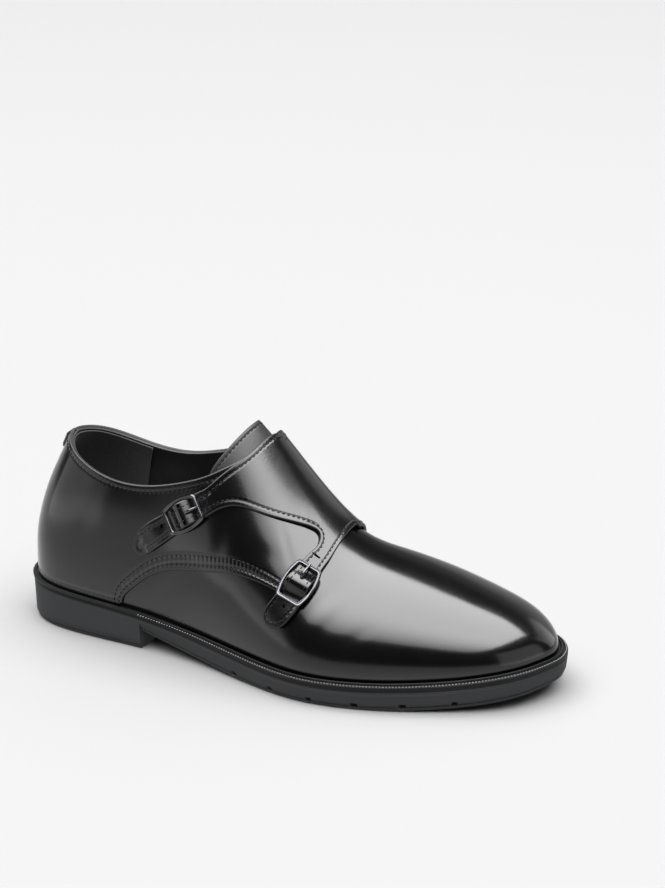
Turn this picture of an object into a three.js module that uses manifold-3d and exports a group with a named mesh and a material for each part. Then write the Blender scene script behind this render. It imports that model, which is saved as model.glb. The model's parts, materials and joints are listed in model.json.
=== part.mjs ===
// Double monk strap shoe for the right foot, standing empty on its sole.
// Millimetres; +X points to the toe, +Y to the inner side of the foot, +Z up, floor at zero.
import * as THREE from "three";
import { ParametricGeometry } from "three/addons/geometries/ParametricGeometry.js";
import { mergeVertices } from "three/addons/utils/BufferGeometryUtils.js";
import Module from "manifold-3d";

const wasm = await Module();
wasm.setup();

// Sizes of the sole
const SOLE_LENGTH = 300;
const BALL_WIDTH = 104;
const HEEL_LENGTH = 81;
const HEEL_BREAST = 10.5;
const TOE_SPRING = 8.5;
const BALL_START = 0.56; // share of the length where the forefoot meets the floor
const BALL_END = 0.7; // share of the length where the toe spring begins
const EDGE_HEIGHT = 22;
const TREAD = 2.2; // height of the tread line over the floor
const NOTCH_RADIUS = 1.2;
const WELT = 2.6;
const WELT_INNER = 4; // welt under the upper, past the feather edge
const LIP = 1.2;
const INSOLE = 3;

// Sizes of the upper
const INSTEP_HEIGHT = 113;
const WALL = 2;
const QUARTER_STEP = 1.2; // thickness of the outer quarter over the vamp
const FLAP = 1.5; // thickness of the inner quarter with its flap and straps
const TONGUE = 1.6;
const TAB = 1.2;
const GAP = 0.3;
const FLAP_GAP = 0.42; // under the flap, where the instep curves hollow

// Sizes of a buckle; along is the way of the strap, across its width.
const BUCKLE_LENGTH = 22;
const BUCKLE_WIDTH = 14.8;
const BUCKLE_BOW = 2.2; // how far each side swells past the corners
const BUCKLE_BAR = 1.9;
const BUCKLE_HEIGHT = 1.9; // underside of the frame over the outer quarter
const BUCKLE_THICKNESS = 1.8;
const CENTRE_BAR = 1.4; // diameter
const CENTRE_BAR_HEIGHT = 1.7; // its axis over the outer quarter
const HUMP = 3.5; // rise of the strap over the centre bar
const HUMP_LENGTH = 15;
const CHAPE_WIDTH = 9;
const CHAPE = 0.4;
const CHAPE_PLATE = 4; // length of its plate behind the bar
const CHAPE_PLATE_THICKNESS = 0.75;
const PRONG = 1.6;

// In every table of the side view, x is a share of the sole length from the middle of the shoe and
// z a share of the instep height. Places of the buckles, and the way each strap points past its bar.
const BUCKLES = [
  { name: "upper", x: -0.1433, z: 0.6929, wayX: -0.833, wayZ: -0.553 },
  { name: "lower", x: 0.082, z: 0.4832, wayX: -0.357, wayZ: -0.934 },
];

// Outline of the sole: edges as shares of the ball width, margin from edge to upper in mm.
const OUTLINE = [
  { at: 0, outer: 0.046, inner: 0.046, margin: 4.2 },
  { at: 0.015, outer: -0.117, inner: 0.209, margin: 4.2 },
  { at: 0.05, outer: -0.224, inner: 0.316, margin: 4.2 },
  { at: 0.11, outer: -0.284, inner: 0.376, margin: 4.2 },
  { at: 0.2, outer: -0.309, inner: 0.391, margin: 4.3 },
  { at: 0.3, outer: -0.329, inner: 0.366, margin: 4.6 },
  { at: 0.4, outer: -0.379, inner: 0.346, margin: 5 },
  { at: 0.5, outer: -0.459, inner: 0.361, margin: 5.3 },
  { at: 0.6, outer: -0.521, inner: 0.416, margin: 5.5 },
  { at: 0.68, outer: -0.506, inner: 0.481, margin: 5.5 },
  { at: 0.76, outer: -0.444, inner: 0.521, margin: 5.5 },
  { at: 0.84, outer: -0.349, inner: 0.516, margin: 5.5 },
  { at: 0.91, outer: -0.244, inner: 0.466, margin: 5.5 },
  { at: 0.965, outer: -0.104, inner: 0.366, margin: 5.5 },
  { at: 0.99, outer: 0.026, inner: 0.261, margin: 5.5 },
  { at: 1, outer: 0.141, inner: 0.141, margin: 5.5 },
];

// Top edge of the sole where the upper sits: height as a share of the edge height at the heel.
const EDGE = [
  { at: 0, height: 1.05 },
  { at: 0.15, height: 1.0 },
  { at: 0.27, height: 0.9 },
  { at: 0.4, height: 0.72 },
  { at: 0.55, height: 0.59 },
  { at: 0.7, height: 0.59 },
  { at: 0.85, height: 0.7 },
  { at: 0.95, height: 0.86 },
  { at: 1, height: 0.92 },
];

// Sections of the last: crown height as a share of the instep height, ridge as a share of the
// ball width, bulge of the side as a share of the half width, and the two handles of its curve.
const LAST = [
  { at: 0, crown: 1.05, ridge: 0.046, bulge: 0.05, wall: 0.46, roof: 0.78 },
  { at: 0.1, crown: 1.08, ridge: 0.046, bulge: 0.06, wall: 0.46, roof: 0.76 },
  { at: 0.23, crown: 1.11, ridge: 0.056, bulge: 0.04, wall: 0.46, roof: 0.7 },
  { at: 0.333, crown: 1.17, ridge: 0.076, bulge: 0.02, wall: 0.48, roof: 0.6 },
  { at: 0.422, crown: 1.12, ridge: 0.096, bulge: 0.02, wall: 0.5, roof: 0.5 },
  { at: 0.47, crown: 0.995, ridge: 0.106, bulge: 0.03, wall: 0.52, roof: 0.46 },
  { at: 0.545, crown: 0.772, ridge: 0.116, bulge: 0.04, wall: 0.55, roof: 0.45 },
  { at: 0.624, crown: 0.598, ridge: 0.126, bulge: 0.05, wall: 0.58, roof: 0.48 },
  { at: 0.69, crown: 0.545, ridge: 0.136, bulge: 0.05, wall: 0.6, roof: 0.5 },
  { at: 0.779, crown: 0.489, ridge: 0.146, bulge: 0.05, wall: 0.62, roof: 0.52 },
  { at: 0.864, crown: 0.422, ridge: 0.146, bulge: 0.05, wall: 0.62, roof: 0.54 },
  { at: 0.928, crown: 0.363, ridge: 0.141, bulge: 0.05, wall: 0.62, roof: 0.56 },
  { at: 0.971, crown: 0.298, ridge: 0.136, bulge: 0.05, wall: 0.6, roof: 0.56 },
  { at: 0.995, crown: 0.235, ridge: 0.136, bulge: 0.05, wall: 0.6, roof: 0.56 },
  { at: 1, crown: 0.185, ridge: 0.136, bulge: 0.05, wall: 0.6, roof: 0.56 },
];

// Back of the heel: how far it leans forward, as a share of the length, at shares of the instep
// height. It fades out at a share of the length.
const LEAN_END = 0.42;
const BACK = [
  { height: 0.1947, lean: 0 },
  { height: 0.3009, lean: 0 },
  { height: 0.4071, lean: 0.0017 },
  { height: 0.531, lean: 0.011 },
  { height: 0.6637, lean: 0.0277 },
  { height: 0.8053, lean: 0.0517 },
  { height: 0.9469, lean: 0.0733 },
  { height: 1.1062, lean: 0.0833 },
];

// Topline of the collar in the side view.
const TOPLINE = [
  { x: -0.5, outer: 0.9381, inner: 0.9381 },
  { x: -0.4333, outer: 0.9115, inner: 0.9115 },
  { x: -0.3767, outer: 0.8496, inner: 0.854 },
  { x: -0.3067, outer: 0.7876, inner: 0.7965 },
  { x: -0.24, outer: 0.7788, inner: 0.792 },
  { x: -0.1667, outer: 0.8212, inner: 0.8407 },
  { x: -0.1, outer: 0.892, inner: 0.908 },
  { x: -0.03, outer: 1.0133, inner: 1.0177 },
];

// Seam of a quarter over the vamp, from the welt to the front.
const SEAM = [
  { x: -0.2733, z: 0.1327 },
  { x: -0.2667, z: 0.2265 },
  { x: -0.2473, z: 0.2876 },
  { x: -0.2167, z: 0.3566 },
  { x: -0.1777, z: 0.4115 },
  { x: -0.1303, z: 0.4425 },
  { x: -0.082, z: 0.4646 },
  { x: -0.032, z: 0.4814 },
  { x: 0.015, z: 0.4708 },
  { x: 0.045, z: 0.4522 },
  { x: 0.0733, z: 0.4292 },
];

// Front of the outer quarter, hidden under the flap.
const QUARTER_FRONT = [
  { x: 0.0933, z: 0.469 },
  { x: 0.1, z: 0.5487 },
  { x: 0.1033, z: 0.708 },
  { x: 0.0333, z: 1.2389 },
];

// Flap and its two straps on the outer side: front edge, lower strap, cut-out, upper strap, top.
const FLAP_OUTER = [
  { x: 0.1217, z: 0.7434 },
  { x: 0.1193, z: 0.6726 },
  { x: 0.115, z: 0.6416 },
  { x: 0.1127, z: 0.6248 },
  { x: 0.1113, z: 0.5699 },
  { x: 0.1087, z: 0.5354 },
  { x: 0.1033, z: 0.4779 },
  { x: 0.094, z: 0.4009 },
  { x: 0.0767, z: 0.3283 },
  { x: 0.0633, z: 0.3035 },
  { x: 0.0507, z: 0.3009 },
  { x: 0.04, z: 0.3186 },
  { x: 0.0353, z: 0.3522 },
  { x: 0.0473, z: 0.4265 },
  { x: 0.0647, z: 0.5133 },
  { x: 0.0793, z: 0.585 },
  { x: 0.0847, z: 0.608 },
  { x: 0.0817, z: 0.6336 },
  { x: 0.075, z: 0.6522 },
  { x: 0.057, z: 0.6796 },
  { x: 0.0263, z: 0.7115 },
  { x: -0.008, z: 0.7407 },
  { x: -0.0443, z: 0.7646 },
  { x: -0.0643, z: 0.7593 },
  { x: -0.082, z: 0.7372 },
  { x: -0.1017, z: 0.6991 },
  { x: -0.16, z: 0.5894 },
  { x: -0.2183, z: 0.4681 },
  { x: -0.23, z: 0.4628 },
  { x: -0.24, z: 0.4832 },
  { x: -0.241, z: 0.5239 },
  { x: -0.2267, z: 0.5929 },
  { x: -0.1877, z: 0.6726 },
  { x: -0.1267, z: 0.7929 },
  { x: -0.107, z: 0.8257 },
  { x: -0.082, z: 0.8938 },
  { x: -0.059, z: 0.9496 },
  { x: -0.0433, z: 1.0018 },
  { x: -0.0317, z: 1.0442 },
  { x: -0.0267, z: 1.1947 },
];

// Front edge of the flap on the inner side, from the ridge down to the seam.
const FLAP_INNER = [
  { x: 0.1217, z: 0.7434 },
  { x: 0.1193, z: 0.6637 },
  { x: 0.115, z: 0.5841 },
  { x: 0.1033, z: 0.4956 },
  { x: 0.0867, z: 0.4248 },
];

// Tongue in the side view.
const TONGUE_OUTLINE = [
  { x: -0.12, z: 0.7257 },
  { x: -0.1167, z: 0.8938 },
  { x: -0.095, z: 0.9823 },
  { x: -0.0667, z: 1.0973 },
  { x: -0.0533, z: 1.2389 },
  { x: 0.0667, z: 1.2389 },
  { x: 0.0667, z: 0.7257 },
];

// Tab over the back seam: turn round the heel toward the inner side, edges as shares of the instep
// height.
const TAB_OUTLINE = [
  { round: -0.02, low: 0.8053, high: 0.8761 },
  { round: 0.03, low: 0.7965, high: 0.8743 },
  { round: 0.06, low: 0.7876, high: 0.8619 },
  { round: 0.085, low: 0.7876, high: 0.8442 },
  { round: 0.1, low: 0.8009, high: 0.8248 },
];

// Notches in each side of the tread: the first and their spacing as shares of the sole length.
const NOTCHES = 6;
const NOTCH_FIRST = 0.475;
const NOTCH_SPACING = 0.078;

// Stations along the shoe, the same for every piece so that their facets agree.
const STATIONS = 40;
const TOPLINE_STEPS = 22;
const BEYOND = 190; // past every edge of the shoe
const MIDDLE = 9; // over the tongue, where the two sides of the flap meet
const BACK_SEAM = 5; // where the outer quarter ends at the back

// Place of a share of the length on the turn that gives round ends.
const turn = (share) => Math.acos(1 - 2 * share) / Math.PI;
const share = (turned) => (1 - Math.cos(Math.PI * turned)) / 2;

// Smooth curve through one column of a table (natural cubic spline).
function spline(rows, column, place) {
  const x = rows.map(place);
  const y = rows.map((row) => row[column]);
  const n = x.length;
  const bend = new Array(n).fill(0);
  const carry = new Array(n).fill(0);
  for (let i = 1; i < n - 1; i++) {
    const part = (x[i] - x[i - 1]) / (x[i + 1] - x[i - 1]);
    const pivot = part * bend[i - 1] + 2;
    const jump = (y[i + 1] - y[i]) / (x[i + 1] - x[i]) - (y[i] - y[i - 1]) / (x[i] - x[i - 1]);
    bend[i] = (part - 1) / pivot;
    carry[i] = ((6 * jump) / (x[i + 1] - x[i - 1]) - part * carry[i - 1]) / pivot;
  }
  for (let i = n - 2; i >= 0; i--) bend[i] = i === 0 ? 0 : bend[i] * bend[i + 1] + carry[i];
  return (at) => {
    let i = 1;
    while (i < n - 1 && at > x[i]) i++;
    const width = x[i] - x[i - 1];
    const a = (x[i] - at) / width;
    const b = 1 - a;
    const curved = ((a ** 3 - a) * bend[i - 1] + (b ** 3 - b) * bend[i]) * (width ** 2 / 6);
    return a * y[i - 1] + b * y[i] + curved;
  };
}

const byTurn = (row) => turn(row.at);
const outerEdge = spline(OUTLINE, "outer", byTurn);
const innerEdge = spline(OUTLINE, "inner", byTurn);
const marginAt = spline(OUTLINE, "margin", byTurn);
const edgeHeight = spline(EDGE, "height", byTurn);
const leanShare = spline(BACK, "lean", (row) => row.height);
const backLean = (z) => leanShare(Math.max(z / INSTEP_HEIGHT, BACK[0].height)) * SOLE_LENGTH;
const byPlace = (row) => row.x;
const topline = { outer: spline(TOPLINE, "outer", byPlace), inner: spline(TOPLINE, "inner", byPlace) };

// Point of a side view table in millimetres.
const sideView = (row) => ({ x: row.x * SOLE_LENGTH, z: row.z * INSTEP_HEIGHT });
const last = {};
for (const name of ["crown", "ridge", "bulge", "wall", "roof"]) {
  last[name] = spline(LAST, name, byTurn);
}

// Point of the sole's outline at a turn, on one side, moved inward by a margin.
function outlinePoint(turned, side, inward) {
  const edge = side < 0 ? outerEdge : innerEdge;
  const step = 0.002;
  const at = (k) => {
    const t = THREE.MathUtils.clamp(k, 0, 1);
    return new THREE.Vector2((share(t) - 0.5) * SOLE_LENGTH, edge(t) * BALL_WIDTH);
  };
  const point = at(turned);
  if (turned < step) return point.add(new THREE.Vector2(inward, 0));
  if (turned > 1 - step) return point.add(new THREE.Vector2(-inward, 0));
  const along = at(turned + step).sub(at(turned - step)).normalize();
  const across = new THREE.Vector2(-along.y, along.x).multiplyScalar(-side);
  return point.addScaledVector(across, inward);
}

const edgeAt = (turned) => edgeHeight(turned) * EDGE_HEIGHT;

// Point of the last: turned runs heel to toe, lift runs from -1 at the outer feather edge over
// zero at the ridge to +1 at the inner feather edge.
function lastPoint(turned, lift) {
  const side = lift < 0 ? -1 : 1;
  const foot = outlinePoint(turned, side, marginAt(turned));
  const other = outlinePoint(turned, -side, marginAt(turned));
  const low = edgeAt(turned) + GAP;
  const top = turned > 0.9999 ? low : last.crown(turned) * INSTEP_HEIGHT;
  const ends = THREE.MathUtils.clamp(Math.sin(Math.PI * turned) * 1.6, 0, 1);
  const ridge = THREE.MathUtils.lerp((foot.y + other.y) / 2, last.ridge(turned) * BALL_WIDTH, ends);
  const half = foot.y - ridge;
  const rise = 1 - Math.abs(lift);
  const start = Math.abs(lift) ** 3;
  const first = 3 * lift ** 2 * rise;
  const second = 3 * Math.abs(lift) * rise ** 2;
  const end = rise ** 3;
  const y = ridge + half * (start + first * (1 + last.bulge(turned)) + second * last.roof(turned));
  const z = low + (top - low) * (first * last.wall(turned) + second + end);
  const middle = (foot.x + other.x) / 2;
  const back = THREE.MathUtils.smoothstep(LEAN_END - share(turned), 0, LEAN_END);
  const x = foot.x * (start + first) + middle * (second + end) + backLean(z) * back;
  return new THREE.Vector3(x, y, z);
}

// Unit vector that points out of the last.
function lastNormal(turned, lift) {
  if (turned < 0.001) return new THREE.Vector3(-1, 0, 0);
  if (turned > 0.999) return new THREE.Vector3(1, 0, 0);
  const step = 0.004;
  const along = lastPoint(Math.min(turned + step, 1), lift).sub(lastPoint(Math.max(turned - step, 0), lift));
  const low = THREE.MathUtils.clamp(lift - step, -1, 1);
  const high = THREE.MathUtils.clamp(lift + step, -1, 1);
  const around = lastPoint(turned, high).sub(lastPoint(turned, low));
  return along.cross(around).normalize();
}

// Point at a distance out of the last, never under the feather edge.
function skin(turned, lift, out) {
  const point = lastPoint(turned, lift).addScaledVector(lastNormal(turned, lift), out);
  point.z = Math.max(point.z, edgeAt(turned) + GAP);
  return point;
}

// Turn and lift of the place on the last seen at x and z from one side.
function findOnLast(x, z, side) {
  let turned = turn(x / SOLE_LENGTH + 0.5);
  let lift = side * 0.5;
  for (let round = 0; round < 30; round++) {
    let [near, far] = [0, 1];
    for (let halving = 0; halving < 24; halving++) {
      lift = (side * (near + far)) / 2;
      if (lastPoint(turned, lift).z > z) near = Math.abs(lift);
      else far = Math.abs(lift);
    }
    turned += ((x - lastPoint(turned, lift).x) / SOLE_LENGTH) * 0.6;
  }
  return { turned, lift };
}

// Geometry of a closed grid surface, with its seams merged and collapsed triangles dropped.
function gridGeometry(point, along, around) {
  const grid = new ParametricGeometry((u, v, target) => target.copy(point(u, v)), along, around);
  grid.deleteAttribute("normal");
  grid.deleteAttribute("uv");
  const merged = mergeVertices(grid, 1e-3);
  const kept = [];
  const index = merged.index.array;
  for (let i = 0; i < index.length; i += 3) {
    const [a, b, c] = [index[i], index[i + 1], index[i + 2]];
    if (a !== b && b !== c && c !== a) kept.push(a, b, c);
  }
  merged.setIndex(kept);
  return merged;
}

// Solid of a closed geometry, turned to face out.
function solid(geometry) {
  const bare = geometry.clone();
  bare.deleteAttribute("normal");
  bare.deleteAttribute("uv");
  const merged = mergeVertices(bare, 1e-3);
  const index = [...merged.index.array];
  const build = (triVerts) =>
    new wasm.Manifold(
      new wasm.Mesh({
        numProp: 3,
        vertProperties: new Float32Array(merged.attributes.position.array),
        triVerts: new Uint32Array(triVerts),
      }),
    );
  const made = build(index);
  return made.volume() > 0 ? made : build(index.reverse());
}

const gridSolid = (point, along, around) => solid(gridGeometry(point, along, around));

// Whole body of the last at a distance out, with its underside lowered to cut through.
function lastBody(out, lowered, along, around) {
  const ring = around + 3;
  return gridSolid(
    (u, v) => {
      const k = Math.round(v * ring) % ring;
      if (k <= around) return skin(u, (k / around) * 2 - 1, out);
      const point = skin(u, k === around + 1 ? 1 : -1, out);
      point.z -= lowered;
      return point;
    },
    along,
    ring,
  );
}

// Steps between two values, closer together toward the end for an ease under 1.
const spread = (from, to, steps, ease = 1) =>
  Array.from({ length: steps + 1 }, (_, i) => THREE.MathUtils.lerp(from, to, (i / steps) ** ease));

// Patch of leather that follows the last over lists of turns and lifts.
function patch(turns, lifts, outAt, thickness) {
  const rows = lifts.length;
  const final = turns.length + 1;
  return gridSolid(
    (u, v) => {
      const i = Math.round(u * final);
      const turned = turns[THREE.MathUtils.clamp(i - 1, 0, turns.length - 1)];
      const k = Math.round(v * 2 * rows) % (2 * rows);
      const outside = k < rows && i > 0 && i < final;
      const lift = lifts[k < rows ? k : 2 * rows - 1 - k];
      return skin(turned, lift, outAt(turned, lift) + (outside ? thickness : 0));
    },
    final,
    2 * rows,
  );
}

// Prism of a side view outline, between two widths.
function sidePrism(outline, from, to) {
  const shape = new THREE.Shape(outline.map((p) => new THREE.Vector2(p.x, p.z)));
  const prism = new THREE.ExtrudeGeometry(shape, { depth: to - from, bevelEnabled: false });
  prism.rotateX(Math.PI / 2);
  prism.translate(0, to, 0);
  return solid(prism);
}

function piece(name, form, color, roughness, metalness) {
  const mesh = form.getMesh();
  const geometry = new THREE.BufferGeometry();
  geometry.setAttribute("position", new THREE.BufferAttribute(mesh.vertProperties, 3));
  geometry.setIndex(new THREE.BufferAttribute(mesh.triVerts, 1));
  geometry.computeVertexNormals();
  const material = new THREE.MeshStandardMaterial({ color, roughness, metalness });
  const made = new THREE.Mesh(geometry, material);
  made.name = name;
  return made;
}

// Underside of the sole: flat heel, breast, arch, flat ball and toe spring.
function treadAt(turned) {
  const at = share(turned);
  const breast = HEEL_LENGTH / SOLE_LENGTH;
  if (at < breast) return 0;
  const arch = THREE.MathUtils.clamp((BALL_START - at) / (BALL_START - breast), 0, 1);
  const toe = THREE.MathUtils.clamp((at - BALL_END) / (1 - BALL_END), 0, 1);
  return HEEL_BREAST * arch ** 2 + TOE_SPRING * toe ** 2;
}

function soleUnit() {
  const levels = [
    { inward: () => 2.8, height: (t) => treadAt(t) },
    { inward: () => 1.7, height: (t) => treadAt(t) + TREAD },
    { inward: () => 1.1, height: (t) => treadAt(t) + TREAD + 0.3 },
    { inward: () => 0.8, height: (t) => edgeAt(t) - WELT - GAP },
    { inward: (t) => marginAt(t) + WELT_INNER + GAP, height: (t) => edgeAt(t) - WELT - GAP },
    { inward: (t) => marginAt(t) + WELT_INNER + GAP, height: (t) => edgeAt(t) },
  ];
  const breast = turn(HEEL_LENGTH / SOLE_LENGTH);
  const places = Array.from({ length: STATIONS + 1 }, (_, i) => i / STATIONS);
  places.push(breast - 1e-3, breast + 1e-4, turn(BALL_START), turn(BALL_END));
  places.sort((a, b) => a - b);
  const ring = levels.length * 2;
  let form = gridSolid(
    (u, v) => {
      const turned = places[Math.round(u * (places.length - 1))];
      const k = Math.round(v * ring) % ring;
      const level = levels[k < levels.length ? k : ring - 1 - k];
      const p = outlinePoint(turned, k < levels.length ? -1 : 1, level.inward(turned));
      return new THREE.Vector3(p.x, p.y, level.height(turned));
    },
    places.length - 1,
    ring,
  );
  for (let i = 0; i < NOTCHES; i++) {
    for (const side of [-1, 1]) {
      const turned = turn(NOTCH_FIRST + i * NOTCH_SPACING);
      const edge = outlinePoint(turned, side, 0);
      const inside = outlinePoint(turned, side, 6);
      const notch = new THREE.CylinderGeometry(NOTCH_RADIUS, NOTCH_RADIUS * 0.6, 6, 6);
      notch.rotateX(Math.PI / 2);
      notch.rotateZ(Math.atan2(inside.y - edge.y, inside.x - edge.x) - Math.PI / 2);
      notch.translate(edge.x, edge.y, treadAt(turned) + TREAD);
      form = form.subtract(solid(notch));
    }
  }
  return form;
}

// Strip round the sole that carries the upper, with a raised lip close to it.
function weltStrip() {
  const around = 2 * STATIONS;
  const front = (t) => THREE.MathUtils.smoothstep(share(t), 0.25, 0.4);
  const lipAt = (t) => marginAt(t) - THREE.MathUtils.lerp(2.6, 1.7, front(t));
  const section = [
    { inward: () => 0.8, rise: -WELT },
    { inward: () => 0.5, rise: -1.2 },
    { inward: (t) => lipAt(t) - 0.7, rise: -0.3 },
    { inward: (t) => lipAt(t) - 0.3, rise: LIP },
    { inward: (t) => lipAt(t) + 0.3, rise: LIP },
    { inward: (t) => lipAt(t) + 0.5, rise: 0 },
    { inward: (t) => marginAt(t) + WELT_INNER, rise: 0 },
    { inward: (t) => marginAt(t) + WELT_INNER, rise: -WELT },
  ];
  return gridSolid(
    (u, v) => {
      const step = Math.round(u * around) % around;
      const side = step < around / 2 ? -1 : 1;
      const turned = side < 0 ? step / (around / 2) : 2 - step / (around / 2);
      const row = section[Math.round(v * section.length) % section.length];
      const p = outlinePoint(turned, side, row.inward(turned));
      return new THREE.Vector3(p.x, p.y, edgeAt(turned) + row.rise);
    },
    around,
    section.length,
  );
}

function insole() {
  const inward = (t) => marginAt(t) + WALL + 2 * GAP;
  return gridSolid(
    (u, v) => {
      const k = Math.round(v * 4) % 4;
      const p = outlinePoint(u, k < 2 ? -1 : 1, inward(u));
      const high = k === 1 || k === 2;
      return new THREE.Vector3(p.x, p.y, edgeAt(u) + 1.5 * GAP + (high ? INSOLE : 0));
    },
    STATIONS,
    4,
  );
}

// Everything over the topline of one side, from the middle of the shoe outward.
function openingPrism(side, lower) {
  const line = [];
  for (let i = 0; i <= TOPLINE_STEPS; i++) {
    const x = THREE.MathUtils.lerp(TOPLINE[0].x, TOPLINE[TOPLINE.length - 1].x, i / TOPLINE_STEPS);
    const point = sideView({ x, z: topline[side](x) });
    line.push({ x: point.x, z: point.z - lower });
  }
  line.push({ x: line[TOPLINE_STEPS].x, z: BEYOND }, { x: -BEYOND, z: BEYOND });
  line.push({ x: -BEYOND, z: line[0].z });
  return side === "outer" ? sidePrism(line, -BEYOND, MIDDLE) : sidePrism(line, MIDDLE, BEYOND);
}

function upper() {
  const outside = lastBody(0, 0, STATIONS, 22);
  const raised = lastBody(QUARTER_STEP, 0, STATIONS, 22);
  const inside = lastBody(-WALL, 8, STATIONS, 18);
  const seam = [...SEAM, ...QUARTER_FRONT].map(sideView);
  const quarter = [...seam, { x: -BEYOND, z: BEYOND }, { x: -BEYOND, z: seam[0].z }];
  const step = raised.intersect(sidePrism(quarter, -BEYOND, BACK_SEAM));
  return outside
    .add(step)
    .subtract(inside)
    .subtract(openingPrism("outer", 0))
    .subtract(openingPrism("inner", 0));
}

// Frame, along and across axes of a buckle on the outer quarter.
function buckleFrame(place) {
  const { x, z } = sideView(place);
  const { turned, lift } = findOnLast(x, z, -1);
  const base = skin(turned, lift, QUARTER_STEP);
  const out = lastNormal(turned, lift);
  const ahead = findOnLast(x + place.wayX * 6, z + place.wayZ * 6, -1);
  const way = skin(ahead.turned, ahead.lift, QUARTER_STEP).sub(base);
  way.addScaledVector(out, -way.dot(out)).normalize();
  const across = out.clone().cross(way);
  return { base, out, way, across, matrix: new THREE.Matrix4().makeBasis(way, across, out).setPosition(base) };
}

const frames = BUCKLES.map((place) => ({ ...place, ...buckleFrame(place) }));

// Rise of a strap where it passes over a centre bar.
function humpAt(point) {
  let rise = 0;
  for (const frame of frames) {
    const from = point.clone().sub(frame.base);
    const along = Math.abs(from.dot(frame.way));
    const far = from.length() > BUCKLE_LENGTH;
    if (!far && along < HUMP_LENGTH / 2) {
      rise += HUMP * Math.cos((Math.PI * along) / HUMP_LENGTH) ** 2;
    }
  }
  return rise;
}

const frameShape = (length, width, bow) => {
  const [l, w] = [length / 2, width / 2];
  const shape = new THREE.Shape();
  shape.moveTo(-l, -w);
  shape.quadraticCurveTo(0, -w - 2 * bow, l, -w);
  shape.lineTo(l, w);
  shape.quadraticCurveTo(0, w + 2 * bow, -l, w);
  shape.closePath();
  return shape;
};

function buckle(grown) {
  const outer = frameShape(BUCKLE_LENGTH + 2 * grown, BUCKLE_WIDTH + 2 * grown, BUCKLE_BOW);
  const shrink = 2 * (BUCKLE_BAR + grown);
  outer.holes.push(frameShape(BUCKLE_LENGTH - shrink, BUCKLE_WIDTH - shrink, BUCKLE_BOW));
  const depth = BUCKLE_THICKNESS + 2 * grown;
  const bevel = 0.5;
  const ring = new THREE.ExtrudeGeometry(outer, {
    depth: depth - 2 * bevel,
    bevelThickness: bevel,
    bevelSize: bevel,
    bevelOffset: -bevel,
    bevelSegments: 1,
    curveSegments: 6,
  });
  ring.translate(0, 0, BUCKLE_HEIGHT - grown + bevel);
  const span = BUCKLE_WIDTH + 2 * BUCKLE_BOW - BUCKLE_BAR;
  const bar = new THREE.CylinderGeometry(CENTRE_BAR / 2 + grown, CENTRE_BAR / 2 + grown, span, 8);
  bar.translate(0, 0, CENTRE_BAR_HEIGHT);
  return solid(ring).add(solid(bar));
}

// Loop of leather round the centre bar, on a short plate sewn to the quarter. Grown, it is the
// room that the strap leaves for it.
function chape(grown) {
  const radius = CENTRE_BAR / 2 + GAP + CHAPE + grown;
  const back = -CHAPE_PLATE - grown;
  const plateTop = GAP + CHAPE_PLATE_THICKNESS + grown;
  const shape = new THREE.Shape();
  shape.moveTo(back, GAP - grown);
  shape.lineTo(0, CENTRE_BAR_HEIGHT - radius);
  shape.absarc(0, CENTRE_BAR_HEIGHT, radius, -Math.PI / 2, Math.PI * 0.85, false);
  shape.lineTo(back / 2, plateTop);
  shape.lineTo(back, plateTop);
  shape.closePath();
  if (grown === 0) {
    const hole = new THREE.Path();
    hole.absarc(0, CENTRE_BAR_HEIGHT, CENTRE_BAR / 2 + GAP, 0, Math.PI * 2, true);
    shape.holes.push(hole);
  }
  const depth = CHAPE_WIDTH + 2 * grown;
  const form = new THREE.ExtrudeGeometry(shape, { depth, bevelEnabled: false, curveSegments: 8 });
  form.translate(0, 0, -depth / 2);
  form.rotateX(Math.PI / 2);
  return solid(form);
}

// Pin that comes up through the strap and lies over the end bar.
function prong(grown) {
  const end = -BUCKLE_LENGTH / 2;
  const top = BUCKLE_HEIGHT + BUCKLE_THICKNESS + GAP - grown;
  const thick = 0.9 + 2 * grown;
  const shape = new THREE.Shape();
  shape.moveTo(-2.6 + grown, GAP * 2 + 0.8 - grown);
  shape.lineTo(-2.6 + grown, top + thick);
  shape.lineTo(end, top + thick);
  shape.lineTo(end - 1.2 - grown, top + thick - 0.6);
  shape.lineTo(end - 1 - grown, top - 0.2);
  shape.lineTo(end + 0.4, top);
  shape.lineTo(-3.7 - grown, top);
  shape.lineTo(-3.6 - grown, GAP * 2 + 0.8 - grown);
  shape.closePath();
  const width = PRONG + 2 * grown;
  const form = new THREE.ExtrudeGeometry(shape, { depth: width, bevelEnabled: false });
  form.translate(0, 0, -width / 2);
  form.rotateX(Math.PI / 2);
  return solid(form);
}

// Solid moved from a buckle's own axes to its place on the shoe.
const placed = (form, frame) => form.transform(frame.matrix.elements);

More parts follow.
